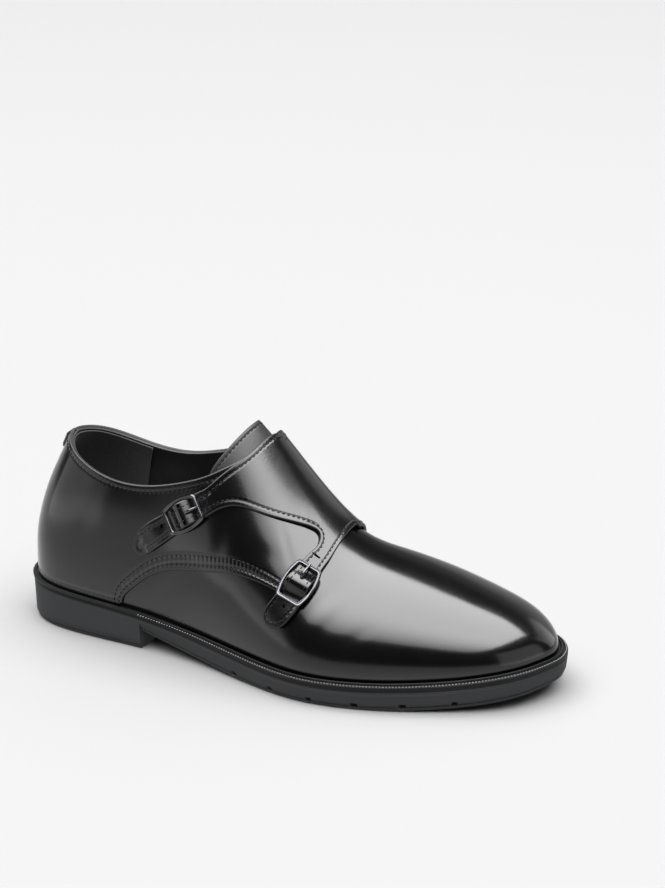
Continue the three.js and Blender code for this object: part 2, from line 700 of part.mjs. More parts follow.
// Inner quarter, flap and both straps, cut in one piece.
function monkQuarter() {
  const outAt = (turned, lift) => {
    const over = 1 - THREE.MathUtils.smoothstep(lift, 0.05, 0.35);
    return FLAP_GAP + QUARTER_STEP * over + humpAt(skin(turned, lift, QUARTER_STEP));
  };
  const turns = spread(0.006, 0.6, 52, 0.75);
  const lifts = [...spread(-0.93, 0, 19), ...spread(0, 1, 10).slice(1)];
  const sheet = patch(turns, lifts, outAt, FLAP);
  const front = [...FLAP_INNER, ...[...SEAM].reverse()].map(sideView);
  const low = front[front.length - 1].z;
  const behind = [{ x: -BEYOND, z: low }, { x: -BEYOND, z: BEYOND }, { x: front[0].x, z: BEYOND }];
  const outline = FLAP_OUTER.map(sideView);
  const keep = sidePrism(outline, -BEYOND, MIDDLE).add(sidePrism([...front, ...behind], MIDDLE, BEYOND));
  let form = sheet.intersect(keep).subtract(openingPrism("inner", 0.6));
  for (const frame of frames) {
    for (const room of [buckle(GAP), prong(GAP), chape(GAP)]) form = form.subtract(placed(room, frame));
  }
  return form;
}

function tongue() {
  const sheet = patch(spread(0.37, 0.6, 12), spread(-0.75, 0.75, 14), () => -WALL - GAP - TONGUE, TONGUE);
  return sheet.intersect(sidePrism(TONGUE_OUTLINE.map(sideView), -BEYOND, BEYOND));
}

// Tab that wraps from the outer quarter over the back seam onto the inner quarter.
function heelTab() {
  const along = 8;
  const up = 4;
  const lowAt = spline(TAB_OUTLINE, "low", (row) => row.round);
  const highAt = spline(TAB_OUTLINE, "high", (row) => row.round);
  const out = GAP + FLAP + GAP;
  const ring = 2 * up + 2;
  const first = TAB_OUTLINE[0].round;
  const final = TAB_OUTLINE[TAB_OUTLINE.length - 1].round;
  return gridSolid(
    (u, v) => {
      const i = Math.round(u * (along + 2));
      const closed = i === 0 || i === along + 2;
      const round = THREE.MathUtils.lerp(first, final, THREE.MathUtils.clamp(i - 1, 0, along) / along);
      const k = Math.round(v * ring) % ring;
      const step = k <= up ? k : ring - 1 - k;
      const z = THREE.MathUtils.lerp(lowAt(round), highAt(round), step / up) * INSTEP_HEIGHT;
      const side = round < 0 ? -1 : 1;
      let [near, far] = [0, 1];
      for (let halving = 0; halving < 24; halving++) {
        const lift = (near + far) / 2;
        if (lastPoint(Math.abs(round), side * lift).z > z) near = lift;
        else far = lift;
      }
      return skin(Math.abs(round), side * near, k <= up && !closed ? out + TAB : out);
    },
    along + 2,
    ring,
  );
}

const LEATHER = { color: "#131416", roughness: 0.22, metalness: 0 };
const RUBBER = { color: "#232425", roughness: 0.7, metalness: 0 };
const METAL = { color: "#5b5c60", roughness: 0.25, metalness: 1 };
const INNER_SOLE = { color: "#1b1b1c", roughness: 0.6, metalness: 0 };

const group = new THREE.Group();
const add = (name, form, look) => group.add(piece(name, form, look.color, look.roughness, look.metalness));
add("sole_unit", soleUnit(), RUBBER);
add("welt", weltStrip(), RUBBER);
add("insole", insole(), INNER_SOLE);
add("upper", upper(), LEATHER);
add("tongue", tongue(), LEATHER);
add("monk_quarter", monkQuarter(), LEATHER);
add("heel_tab", heelTab(), LEATHER);
for (const frame of frames) {
  add("buckle_" + frame.name, placed(buckle(0), frame), METAL);
  add("prong_" + frame.name, placed(prong(0), frame), METAL);
  add("chape_" + frame.name, placed(chape(0), frame), LEATHER);
}

export default group;
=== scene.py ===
import json
import math

import bmesh
import bpy
import numpy as np
from mathutils import Matrix, Vector
from mathutils.geometry import delaunay_2d_cdt

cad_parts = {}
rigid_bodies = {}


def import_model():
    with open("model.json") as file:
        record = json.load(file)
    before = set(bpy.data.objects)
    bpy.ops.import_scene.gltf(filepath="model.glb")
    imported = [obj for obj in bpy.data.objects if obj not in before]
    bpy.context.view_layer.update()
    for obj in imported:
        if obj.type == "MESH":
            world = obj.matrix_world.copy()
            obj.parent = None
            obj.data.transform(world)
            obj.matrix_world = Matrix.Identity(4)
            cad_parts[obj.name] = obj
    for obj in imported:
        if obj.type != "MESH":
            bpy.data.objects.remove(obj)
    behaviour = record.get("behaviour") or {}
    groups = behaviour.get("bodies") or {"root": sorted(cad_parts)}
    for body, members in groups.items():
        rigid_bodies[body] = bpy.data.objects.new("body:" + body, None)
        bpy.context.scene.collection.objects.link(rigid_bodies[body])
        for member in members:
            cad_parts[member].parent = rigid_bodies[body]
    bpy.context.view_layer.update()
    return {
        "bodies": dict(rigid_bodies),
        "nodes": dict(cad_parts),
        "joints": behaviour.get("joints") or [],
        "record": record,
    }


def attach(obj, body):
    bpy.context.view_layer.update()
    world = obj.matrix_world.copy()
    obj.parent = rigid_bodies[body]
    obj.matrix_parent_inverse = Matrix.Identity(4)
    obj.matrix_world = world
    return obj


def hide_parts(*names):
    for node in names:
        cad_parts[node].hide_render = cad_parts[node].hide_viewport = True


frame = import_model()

MM = 0.001

# Sizes of the shoe in millimetres, the same as those of its solids.
SOLE_LENGTH = 300
BALL_WIDTH = 104
HEEL_LENGTH = 81
HEEL_BREAST = 10.5
TOE_SPRING = 8.5
BALL_START = 0.56
BALL_END = 0.7
EDGE_HEIGHT = 22
TREAD = 2.2
WELT = 2.6
WELT_INNER = 4
INSTEP_HEIGHT = 113
WALL = 2
QUARTER_STEP = 1.2
FLAP = 1.5
FLAP_GAP = 0.42
TONGUE = 1.6
GAP = 0.3
BUCKLE_LENGTH = 22
BUCKLE_WIDTH = 14.8
BUCKLE_BAR = 1.9
BUCKLE_HEIGHT = 1.9
BUCKLE_THICKNESS = 1.8
CENTRE_BAR = 1.4
CENTRE_BAR_HEIGHT = 1.7
HUMP = 3.5
HUMP_LENGTH = 15

# Sizes that only the finished pieces have, in millimetres.
BUCKLE_BOW = 1.4  # swelling of a frame's sides, straighter than in its solid
SOLE_SIDE = 0.8  # from the outline in to the plain side of the sole
NOTCH_DEPTH = 2.4
VAMP_UNDER = 11  # how far the vamp reaches under the quarters
TIP_RISE = 0.7  # of the loose end of a strap
GRIP_FRONT = -100.5  # where the pads inside the back end
GRIP_DROP = 1.4  # from the topline down to the pads
BAR_FRONT = (27, 60)  # ends of the bar on the inner side: x and z
BAR_BACK = (15, 61.5)
BAR_RADIUS = 1.15
STITCH, STITCH_LENGTH, STITCH_THICKNESS = 2.7, 2.0, 0.62  # pitch, length, thickness
STITCH_PROUD = 0.05  # from the leather out to the middle of its stitches
WELT_STITCH, WELT_STITCH_LENGTH = 1.65, 0.85
WELT_STITCH_INSET = 1.75  # from the lip out to the stitches of the welt
WAVES = 0.1  # height of the soft waves of polished leather

# Reaches of the leather round each buckle: its finer mesh, and the fading of its stitch channels.
FINE_RADIUS = 10
TIGHT_RADIUS, LOOSE_RADIUS = 6.5, 10.5

# Places on the last that the leather is cut to, as turns or shares of the length.
BACK_TURN = 0.0018  # back seam
FRONT_TURN = 0.6  # front end of the lining
VAMP_BACK = 0.53  # where the vamp closes over the instep, under the flap

# Columns: name, x, z, way x, way z. As in every side view below, x is a share of the sole length
# from the middle of the shoe, and z a share of the instep height.
BUCKLES = (
    ("upper", -0.1433, 0.6929, -0.833, -0.553),
    ("lower", 0.082, 0.4832, -0.357, -0.934),
)

# Outline of the sole. Columns: at, outer, inner, margin.
OUTLINE = (
    (0, 0.046, 0.046, 4.2),
    (0.015, -0.117, 0.209, 4.2),
    (0.05, -0.224, 0.316, 4.2),
    (0.11, -0.284, 0.376, 4.2),
    (0.2, -0.309, 0.391, 4.3),
    (0.3, -0.329, 0.366, 4.6),
    (0.4, -0.379, 0.346, 5),
    (0.5, -0.459, 0.361, 5.3),
    (0.6, -0.521, 0.416, 5.5),
    (0.68, -0.506, 0.481, 5.5),
    (0.76, -0.444, 0.521, 5.5),
    (0.84, -0.349, 0.516, 5.5),
    (0.91, -0.244, 0.466, 5.5),
    (0.965, -0.104, 0.366, 5.5),
    (0.99, 0.026, 0.261, 5.5),
    (1, 0.141, 0.141, 5.5),
)

# Top edge of the sole. Columns: at, height.
EDGE = (
    (0, 1.05),
    (0.15, 1.0),
    (0.27, 0.9),
    (0.4, 0.72),
    (0.55, 0.59),
    (0.7, 0.59),
    (0.85, 0.7),
    (0.95, 0.86),
    (1, 0.92),
)

# Sections of the last. Columns: at, crown, ridge, bulge, wall, roof.
LAST = (
    (0, 1.05, 0.046, 0.05, 0.46, 0.78),
    (0.1, 1.08, 0.046, 0.06, 0.46, 0.76),
    (0.23, 1.11, 0.056, 0.04, 0.46, 0.7),
    (0.333, 1.17, 0.076, 0.02, 0.48, 0.6),
    (0.422, 1.12, 0.096, 0.02, 0.5, 0.5),
    (0.47, 0.995, 0.106, 0.03, 0.52, 0.46),
    (0.545, 0.772, 0.116, 0.04, 0.55, 0.45),
    (0.624, 0.598, 0.126, 0.05, 0.58, 0.48),
    (0.69, 0.545, 0.136, 0.05, 0.6, 0.5),
    (0.779, 0.489, 0.146, 0.05, 0.62, 0.52),
    (0.864, 0.422, 0.146, 0.05, 0.62, 0.54),
    (0.928, 0.363, 0.141, 0.05, 0.62, 0.56),
    (0.971, 0.298, 0.136, 0.05, 0.6, 0.56),
    (0.995, 0.235, 0.136, 0.05, 0.6, 0.56),
    (1, 0.185, 0.136, 0.05, 0.6, 0.56),
)

# Back of the heel. Columns: height, lean.
BACK = (
    (0.1947, 0),
    (0.3009, 0),
    (0.4071, 0.0017),
    (0.531, 0.011),
    (0.6637, 0.0277),
    (0.8053, 0.0517),
    (0.9469, 0.0733),
    (1.1062, 0.0833),
)

# Topline of the collar. Columns: x, outer, inner.
TOPLINE = (
    (-0.5, 0.9381, 0.9381),
    (-0.4333, 0.9115, 0.9115),
    (-0.3767, 0.8496, 0.854),
    (-0.3067, 0.7876, 0.7965),
    (-0.24, 0.7788, 0.792),
    (-0.1667, 0.8212, 0.8407),
    (-0.1, 0.892, 0.908),
    (-0.03, 1.0133, 1.0177),
)

# Seam of a quarter over the vamp. Columns: x, z.
SEAM = (
    (-0.2733, 0.1327),
    (-0.2667, 0.2265),
    (-0.2473, 0.2876),
    (-0.2167, 0.3566),
    (-0.1777, 0.4115),
    (-0.1303, 0.4425),
    (-0.082, 0.4646),
    (-0.032, 0.4814),
    (0.015, 0.4708),
    (0.045, 0.4522),
    (0.0733, 0.4292),
)

# Flap and straps on the outer side. Columns: x, z.
FLAP_OUTER = (
    (0.1217, 0.7434),
    (0.1193, 0.6726),
    (0.115, 0.6416),
    (0.1127, 0.6248),
    (0.1113, 0.5699),
    (0.1087, 0.5354),
    (0.1033, 0.4779),
    (0.094, 0.4009),
    (0.0767, 0.3283),
    (0.0633, 0.3035),
    (0.0507, 0.3009),
    (0.04, 0.3186),
    (0.0353, 0.3522),
    (0.0473, 0.4265),
    (0.0647, 0.5133),
    (0.0793, 0.585),
    (0.0847, 0.608),
    (0.0817, 0.6336),
    (0.075, 0.6522),
    (0.057, 0.6796),
    (0.0263, 0.7115),
    (-0.008, 0.7407),
    (-0.0443, 0.7646),
    (-0.0643, 0.7593),
    (-0.082, 0.7372),
    (-0.1017, 0.6991),
    (-0.16, 0.5894),
    (-0.2183, 0.4681),
    (-0.23, 0.4628),
    (-0.24, 0.4832),
    (-0.241, 0.5239),
    (-0.2267, 0.5929),
    (-0.1877, 0.6726),
    (-0.1267, 0.7929),
    (-0.107, 0.8257),
    (-0.082, 0.8938),
    (-0.059, 0.9496),
    (-0.0433, 1.0018),
    (-0.0317, 1.0442),
    (-0.0267, 1.1947),
)

# Front edge of the flap on the inner side. Columns: x, z.
FLAP_INNER = (
    (0.1217, 0.7434),
    (0.1193, 0.6637),
    (0.115, 0.5841),
    (0.1033, 0.4956),
    (0.0867, 0.4248),
)

# Tab over the back seam. Columns: round, low, high.
TAB_OUTLINE = (
    (-0.02, 0.8053, 0.8761),
    (0.03, 0.7965, 0.8743),
    (0.06, 0.7876, 0.8619),
    (0.085, 0.7876, 0.8442),
    (0.1, 0.8009, 0.8248),
)

LEAN_END = 0.42  # share of the length where the lean of the back has faded out
OVER_ALL = 200.0  # a height over the whole shoe, where the nearest place is on the ridge

# Notches in each side of the tread.
NOTCHES = 6
NOTCH_FIRST = 0.475
NOTCH_SPACING = 0.078
NOTCH_RADIUS = 1.2


def turn(share):
    """Turn of a share of the length, which spaces the stations closer at both round ends."""
    return np.arccos(1 - 2 * np.clip(np.asarray(share, float), 0, 1)) / np.pi


def share(turned):
    """Share of the length at a turn."""
    return (1 - np.cos(np.pi * np.asarray(turned, float))) / 2


def spline(places, values):
    """Natural cubic curve through a table's column."""
    x, y = np.asarray(places, float), np.asarray(values, float)
    gaps = np.diff(x)
    count = len(x)
    system, right = np.eye(count), np.zeros(count)
    for i in range(1, count - 1):
        system[i, i - 1 : i + 2] = gaps[i - 1], 2 * (gaps[i - 1] + gaps[i]), gaps[i]
        right[i] = 6 * ((y[i + 1] - y[i]) / gaps[i] - (y[i] - y[i - 1]) / gaps[i - 1])
    bend = np.linalg.solve(system, right)

    def curve(at):
        at = np.asarray(at, float)
        i = np.clip(np.searchsorted(x, at), 1, count - 1)
        width = x[i] - x[i - 1]
        a = (x[i] - at) / width
        b = 1 - a
        curved = ((a**3 - a) * bend[i - 1] + (b**3 - b) * bend[i]) * width**2 / 6
        return a * y[i - 1] + b * y[i] + curved

    return curve


def column(table, number):
    """One column of a table."""
    return [row[number] for row in table]


def by_turn(table, number):
    """Smooth curve through a column of a table whose first column is a station."""
    return spline(turn(column(table, 0)), column(table, number))


outer_edge, inner_edge, margin = (by_turn(OUTLINE, i) for i in (1, 2, 3))
edge_share = by_turn(EDGE, 1)
crown, ridge_line, bulge, wall_handle, roof_handle = (by_turn(LAST, i) for i in range(1, 6))
lean_share = spline(column(BACK, 0), column(BACK, 1))
topline = {side: spline(column(TOPLINE, 0), column(TOPLINE, i)) for side, i in ((-1, 1), (1, 2))}


def smooth(value, start, end):
    """Soft step from zero at start to one at end."""
    part = np.clip((np.asarray(value, float) - start) / (end - start), 0, 1)
    return part * part * (3 - 2 * part)


def edge_at(turned):
    """Height of the sole's top edge."""
    return edge_share(turned) * EDGE_HEIGHT


def back_lean(z):
    """How far the back of the last leans at a height."""
    return lean_share(np.maximum(z / INSTEP_HEIGHT, BACK[0][0])) * SOLE_LENGTH


def outline_point(turned, side, inward):
    """Point of the sole's outline on a side, moved inward: x and y."""
    turned = np.asarray(turned, float)
    step = 0.002
    edge = outer_edge if side < 0 else inner_edge

    def at(place):
        place = np.clip(place, 0, 1)
        return (share(place) - 0.5) * SOLE_LENGTH, edge(place) * BALL_WIDTH

    x, y = at(turned)
    ahead, behind = at(turned + step), at(turned - step)
    along_x, along_y = ahead[0] - behind[0], ahead[1] - behind[1]
    long = np.hypot(along_x, along_y)
    across_x, across_y = along_y * side / long, -along_x * side / long
    across_x = np.where(turned < step, 1, np.where(turned > 1 - step, -1, across_x))
    across_y = np.where((turned < step) | (turned > 1 - step), 0, across_y)
    return x + across_x * inward, y + across_y * inward


def last_point(turned, lift):
    """Place on the last. Lift runs from -1 at the outer feather edge over the ridge to 1."""
    turned, lift = np.broadcast_arrays(np.asarray(turned, float), np.asarray(lift, float))
    feet = {side: outline_point(turned, side, margin(turned)) for side in (-1, 1)}
    outer = lift < 0
    foot_x, foot_y = (np.where(outer, feet[-1][i], feet[1][i]) for i in (0, 1))
    other_x, other_y = (np.where(outer, feet[1][i], feet[-1][i]) for i in (0, 1))
    low = edge_at(turned) + GAP
    top = np.where(turned > 0.9999, low, crown(turned) * INSTEP_HEIGHT)
    ends = np.clip(np.sin(np.pi * turned) * 1.6, 0, 1)
    centre = (foot_y + other_y) / 2
    ridge = centre + (ridge_line(turned) * BALL_WIDTH - centre) * ends
    size = np.abs(lift)
    rise = 1 - size
    start, first, second, end = size**3, 3 * size**2 * rise, 3 * size * rise**2, rise**3
    y = ridge + (foot_y - ridge) * (start + first * (1 + bulge(turned)) + second * roof_handle(turned))
    z = low + (top - low) * (first * wall_handle(turned) + second + end)
    back = smooth(LEAN_END - share(turned), 0, LEAN_END)
    x = foot_x * (start + first) + (foot_x + other_x) / 2 * (second + end) + back_lean(z) * back
    return np.stack([x, y, z], -1)


def unit(vectors):
    """Vectors of length one."""
    return vectors / np.maximum(np.linalg.norm(vectors, axis=-1, keepdims=True), 1e-12)


def last_normal(turned, lift):
    """Unit vector that points out of the last."""
    turned, lift = np.broadcast_arrays(np.asarray(turned, float), np.asarray(lift, float))
    step = 0.004
    along = last_point(np.minimum(turned + step, 1), lift) - last_point(np.maximum(turned - step, 0), lift)
    upward, downward = np.clip(lift + step, -1, 1), np.clip(lift - step, -1, 1)
    around = last_point(turned, upward) - last_point(turned, downward)
    out = unit(np.cross(along, around))
    out = np.where((turned < 0.001)[..., None], [-1.0, 0, 0], out)
    return np.where((turned > 0.999)[..., None], [1.0, 0, 0], out)


def skin(turned, lift, out):
    """Place at a distance out of the last, never under the feather edge."""
    point = last_point(turned, lift) + last_normal(turned, lift) * np.asarray(out, float)[..., None]
    point[..., 2] = np.maximum(point[..., 2], edge_at(turned) + GAP)
    return point


def find_on_last(x, z, side):
    """Turn and lift of the places seen at x and z from one side."""
    x, z = np.asarray(x, float), np.asarray(z, float)
    turned = turn(x / SOLE_LENGTH + 0.5)
    lift = np.full(x.shape, side * 0.5)
    for _ in range(30):
        near, far = np.zeros(x.shape), np.ones(x.shape)
        for _ in range(20):
            lift = side * (near + far) / 2
            high = last_point(turned, lift)[..., 2] > z
            near, far = np.where(high, np.abs(lift), near), np.where(high, far, np.abs(lift))
        off = x - last_point(turned, lift)[..., 0]
        turned = np.clip(turned + off / SOLE_LENGTH * 0.6, 0.0005, 0.9995)
    return np.stack([turned, lift], -1)


def on_side(rows, side):
    """Turns and lifts of a side view table."""
    rows = np.asarray(rows, float)
    return find_on_last(rows[:, 0] * SOLE_LENGTH, rows[:, 1] * INSTEP_HEIGHT, side)


# Leather is cut in a flat pattern: u runs along the last and v around it, both in about mm.
GIRTH = 82
STATIONS = np.linspace(0, 1, 600)
steps = np.linalg.norm(np.diff(last_point(STATIONS, np.full(600, -0.6)), axis=0), axis=1)
STATION_U = np.concatenate([[0], np.cumsum(steps)])


def to_pattern(points):
    """Places on the last, as places in the flat pattern."""
    points = np.asarray(points, float)
    return np.stack([np.interp(points[:, 0], STATIONS, STATION_U), points[:, 1] * GIRTH], -1)


def from_pattern(points):
    """Places in the flat pattern, as places on the last."""
    return np.interp(points[..., 0], STATION_U, STATIONS), points[..., 1] / GIRTH


def smooth_line(points, step=1.2):
    """Even steps along a smooth curve through points of the pattern."""
    points = np.asarray(points, float)
    chord = np.concatenate([[0], np.cumsum(np.sqrt(np.linalg.norm(np.diff(points, axis=0), axis=1)))])
    curves = [spline(chord, points[:, i]) for i in (0, 1)]
    fine = np.linspace(0, chord[-1], 40 * len(points))
    line = np.stack([curve(fine) for curve in curves], -1)
    return even_line(line, step)


def even_line(line, step=1.2):
    """Line through the same places in even steps."""
    far = np.concatenate([[0], np.cumsum(np.linalg.norm(np.diff(line, axis=0), axis=1))])
    count = max(int(round(far[-1] / step)), 1)
    at = np.linspace(0, far[-1], count + 1)
    return np.stack([np.interp(at, far, line[:, i]) for i in range(line.shape[1])], -1)


def beside(line, distance):
    """Line of the pattern moved to its left."""
    along = unit(np.gradient(line, axis=0))
    return line + np.stack([-along[:, 1], along[:, 0]], -1) * distance


def inside(points, loop):
    """Which points of the pattern lie in a closed loop."""
    x, y = points[:, 0, None], points[:, 1, None]
    x0, y0 = loop[:, 0], loop[:, 1]
    x1, y1 = np.roll(x0, -1), np.roll(y0, -1)
    crosses = (y0 > y) != (y1 > y)
    level = np.where(y1 == y0, 1e-9, y1 - y0)
    return (crosses & (x < (x1 - x0) * (y - y0) / level + x0)).sum(1) % 2 == 1


def nearest_edge(points, loop):
    """Distance to a closed loop, the way to its nearest place, and how far along the loop that is."""
    start, end = loop, np.roll(loop, -1, 0)
    along = end - start
    run = np.concatenate([[0], np.cumsum(np.linalg.norm(along, axis=1))])
    far, way, place = np.empty(len(points)), np.empty_like(points), np.empty(len(points))
    for first in range(0, len(points), 2000):
        part = points[first : first + 2000, None]
        at = ((part - start) * along).sum(-1) / np.maximum((along**2).sum(-1), 1e-12)
        at = np.clip(at, 0, 1)
        gap = start + along * at[..., None] - part
        size = np.linalg.norm(gap, axis=-1)
        best = size.argmin(1)
        rows = np.arange(len(best))
        far[first : first + 2000] = size[rows, best]
        way[first : first + 2000] = gap[rows, best]
        place[first : first + 2000] = run[best] + at[rows, best] * (run[best + 1] - run[best])
    return far, way, place


def new_piece(name, vertices, faces, normals=None, maps=None):
    """Mesh object from millimetres. Normals and maps have one value for each corner of each face."""
    mesh = bpy.data.meshes.new(name)
    mesh.from_pydata((np.asarray(vertices) * MM).tolist(), [], faces)
    mesh.polygons.foreach_set("use_smooth", [True] * len(mesh.polygons))
    if normals is not None:
        mesh.normals_split_custom_set(normals.tolist())
    for layer, values in (maps or {}).items():
        mesh.uv_layers.new(name=layer).data.foreach_set("uv", np.asarray(values).ravel())
    mesh.update()
    piece = bpy.data.objects.new(name, mesh)
    bpy.context.collection.objects.link(piece)
    return piece


def dress(piece, slot, material, *nodes):
    """Gives a finished piece its material, and lets it stand for nodes of the frame. Its slot is not used.
    """
    piece.data.materials.clear()
    piece.data.materials.append(material)
    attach(piece, "root")
    if nodes:
        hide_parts(*nodes)
    return piece


def filled(loop, left, edge, step, fine):
    """Places for the mesh of a sheet: its loop, rings beside it, then an even grid."""
    rings = []
    for inset in (0.2 * edge, 0.55 * edge, edge):
        ring = loop + left * inset
        far = nearest_edge(ring, loop)[0]
        rings.append(ring[(far > 0.9 * inset) & inside(ring, loop)])
    low, high = loop.min(0), loop.max(0)
    columns = np.arange(low[0], high[0], step)
    rows = np.arange(low[1], high[1], step * 0.87)
    grid = np.array([(u + (j % 2) * step / 2, v) for j, v in enumerate(rows) for u in columns])
    grid = grid[inside(grid, loop)]
    grid = grid[nearest_edge(grid, loop)[0] > edge + 0.55 * step]
    for spot in fine:
        span = np.arange(-FINE_RADIUS, FINE_RADIUS, 0.8)
        dense = np.array([(u, v) for u in span for v in span if u * u + v * v < FINE_RADIUS**2]) + spot
        dense = dense[inside(dense, loop)]
        dense = dense[nearest_edge(dense, loop)[0] > edge + 0.4]
        grid = np.concatenate([grid[np.linalg.norm(grid - spot, axis=1) > FINE_RADIUS + 0.6], dense])
    return np.concatenate([loop, *rings, grid])


def meshed(places, loop):
    """Points and triangles of a sheet within a loop, all turned the same way."""
    made = delaunay_2d_cdt([Vector(p) for p in places.tolist()], [], [list(range(len(loop)))], 1, 1e-6)
    flat = np.array([tuple(v) for v in made[0]])
    faces = np.array([f for f in made[2]])
    a, b, c = (flat[faces[:, i]] for i in range(3))
    turned_over = (b[:, 0] - a[:, 0]) * (c[:, 1] - a[:, 1]) < (b[:, 1] - a[:, 1]) * (c[:, 0] - a[:, 0])
    faces[turned_over] = faces[turned_over][:, ::-1]
    return flat, faces


def leather_maps(flat, corners, loop, seam, fine):
    """Maps of a sheet: how far along its edge, and the seam, each place is and how far from them,
    and where it isn't drawn tight over a buckle's bar."""
    far, _, place = nearest_edge(flat, loop)
    length = np.linalg.norm(np.roll(loop, -1, 0) - loop, axis=1).sum()
    laps = [length * np.round((place[face[0]] - place[face]) / length) for face in corners]
    every = np.concatenate(corners)
    loose = np.ones(len(flat))
    for spot in fine:
        loose *= smooth(np.linalg.norm(flat - spot, axis=1), TIGHT_RADIUS, LOOSE_RADIUS)
    maps = {
        "edge": np.stack([place[every] + np.concatenate(laps), far[every]], -1),
        "plain": np.stack([loose[every], loose[every]], -1),
    }
    if seam is not None:
        there_and_back = np.concatenate([seam, seam[::-1][1:-1]])
        away, _, run = nearest_edge(flat, there_and_back)
        whole = np.linalg.norm(np.diff(seam, axis=0), axis=1).sum()
        run = np.minimum(run, 2 * whole - run)
        maps["seam"] = np.stack([run[every], away[every]], -1)
    return maps


def cut_leather(name, loop, out_at, thickness, edge=0.6, step=2.2, under=False, seam=None, fine=()):
    """Closed sheet of leather cut to a loop of the pattern, with rounded edges.

    out_at gives the height of its face over the last. With under, its back is rounded as well.
    Its mesh is finer round the places of fine."""
    area = (loop[:, 0] * np.roll(loop[:, 1], -1) - np.roll(loop[:, 0], -1) * loop[:, 1]).sum()
    loop = loop if area > 0 else loop[::-1]
    along_loop = np.roll(loop, -1, 0) - np.roll(loop, 1, 0)
    ahead = unit(along_loop)
    left = np.stack([-ahead[:, 1], ahead[:, 0]], -1)
    flat, faces = meshed(filled(loop, left, edge, step, fine), loop)
    far, way, _ = nearest_edge(flat, loop)

    def surface(points, drop=0.0):
        turned, lift = from_pattern(points)
        return skin(turned, lift, out_at(turned, lift) + drop)

    shift_u, shift_v = np.array([0.4, 0]), np.array([0, 0.4])
    along = surface(flat + shift_u) - surface(flat - shift_u)
    around = surface(flat + shift_v) - surface(flat - shift_v)
    facing = unit(np.cross(along, around))
    outward = unit(unit(along) * way[:, :1] + unit(around) * way[:, 1:])
    rim = np.flatnonzero(far < 1e-4)
    stops = [int(np.argmin(np.abs(loop - flat[i]).sum(1))) for i in rim]
    for i, k in zip(rim, stops):
        outward[i] = unit(unit(along[i]) * along_loop[k, 1] - unit(around[i]) * along_loop[k, 0])
    order = {k: int(i) for i, k in zip(rim, stops)}
    ring = [order[k] for k in sorted(order)]

    ease = np.clip((edge - far) / edge, 0, 1)
    drop = edge * (1 - np.sqrt(np.maximum(1 - ease**2, 0)))
    tilt = ease[:, None]
    level = np.sqrt(np.maximum(1 - tilt**2, 0))
    top = surface(flat, -drop)
    bottom = surface(flat, (drop if under else 0) - thickness)
    top_normal = unit(facing * level + outward * tilt)
    bottom_normal = unit(outward * tilt - facing * level) if under else -facing

    count = len(flat)
    steps = list(zip(ring, ring[1:] + ring[:1]))
    wall = [(i, i + count, j + count, j) for i, j in steps]
    side = np.array([[outward[i], outward[i], outward[j], outward[j]] for i, j in steps])
    every = faces.tolist() + (faces[:, ::-1] + count).tolist() + wall
    normals = [top_normal[faces.ravel()], bottom_normal[faces[:, ::-1].ravel()], side.reshape(-1, 3)]
    corners = [np.array(face) % count for face in every]
    maps = leather_maps(flat, corners, loop, seam, fine)
    return new_piece(name, np.concatenate([top, bottom]), every, np.concatenate(normals), maps)


def ring_grid(name, rings, closed_along=False):
    """Piece from rings of points; each ring is closed, and the ends are capped if they are open."""
    rings = np.asarray(rings)
    count, around = rings.shape[:2]
    faces = []
    last = count if closed_along else count - 1
    for i in range(last):
        a, b = i * around, ((i + 1) % count) * around
        for k in range(around):
            n = (k + 1) % around
            faces.append((a + k, b + k, b + n, a + n))
    if not closed_along:
        faces.append(tuple(range(around)))
        faces.append(tuple(reversed(range((count - 1) * around, count * around))))
    piece = new_piece(name, rings.reshape(-1, 3), faces)
    tidy_faces(piece)
    piece.data.set_sharp_from_angle(angle=math.radians(38))
    return piece


def tidy_faces(piece):
    """Merges doubles and turns every face outward."""
    form = bmesh.new()
    form.from_mesh(piece.data)
    bmesh.ops.remove_doubles(form, verts=form.verts, dist=2e-6)
    bmesh.ops.recalc_face_normals(form, faces=form.faces)
    form.to_mesh(piece.data)
    form.free()
    piece.data.polygons.foreach_set("use_smooth", [True] * len(piece.data.polygons))


def tread_at(turned):
    """Underside of the sole: flat heel, breast, arch, flat ball and toe spring."""
    at = share(turned)
    breast = HEEL_LENGTH / SOLE_LENGTH
    arch = np.clip((BALL_START - at) / (BALL_START - breast), 0, 1)
    toe = np.clip((at - BALL_END) / (1 - BALL_END), 0, 1)
    return np.where(at < breast, 0, HEEL_BREAST * arch**2 + TOE_SPRING * toe**2)


# Side of the sole near the floor. Columns: inward, height over the tread.
SOLE_FOOT = (
    (3.5, 0.0),
    (2.8, 0.05),
    (2.45, 0.35),
    (2.25, 0.9),
    (2.1, TREAD - 0.4),
    (2.3, TREAD - 0.2),
    (2.3, TREAD),
    (1.7, TREAD + 0.2),
    (1.45, TREAD + 0.7),
)

SIDE_SLOPE = 0.033  # of the plain side of the sole behind its toe
WELT_DEPTH = 2.7  # from the sole's top edge down to the grooves under the welt

# Side of the sole under the welt, with the fine grooves round its toe. Columns: inward, depth under
# the edge. Behind the toe the grooves fade into a plain slope.
SOLE_TOP = (
    (0.95, 4.6),
    (0.92, 4.1),
    (1.12, 3.95),
    (1.12, 3.8),
    (0.88, 3.65),
    (0.84, 3.1),
    (0.98, 2.95),
    (0.98, 2.85),
    (SOLE_SIDE, WELT_DEPTH),
)


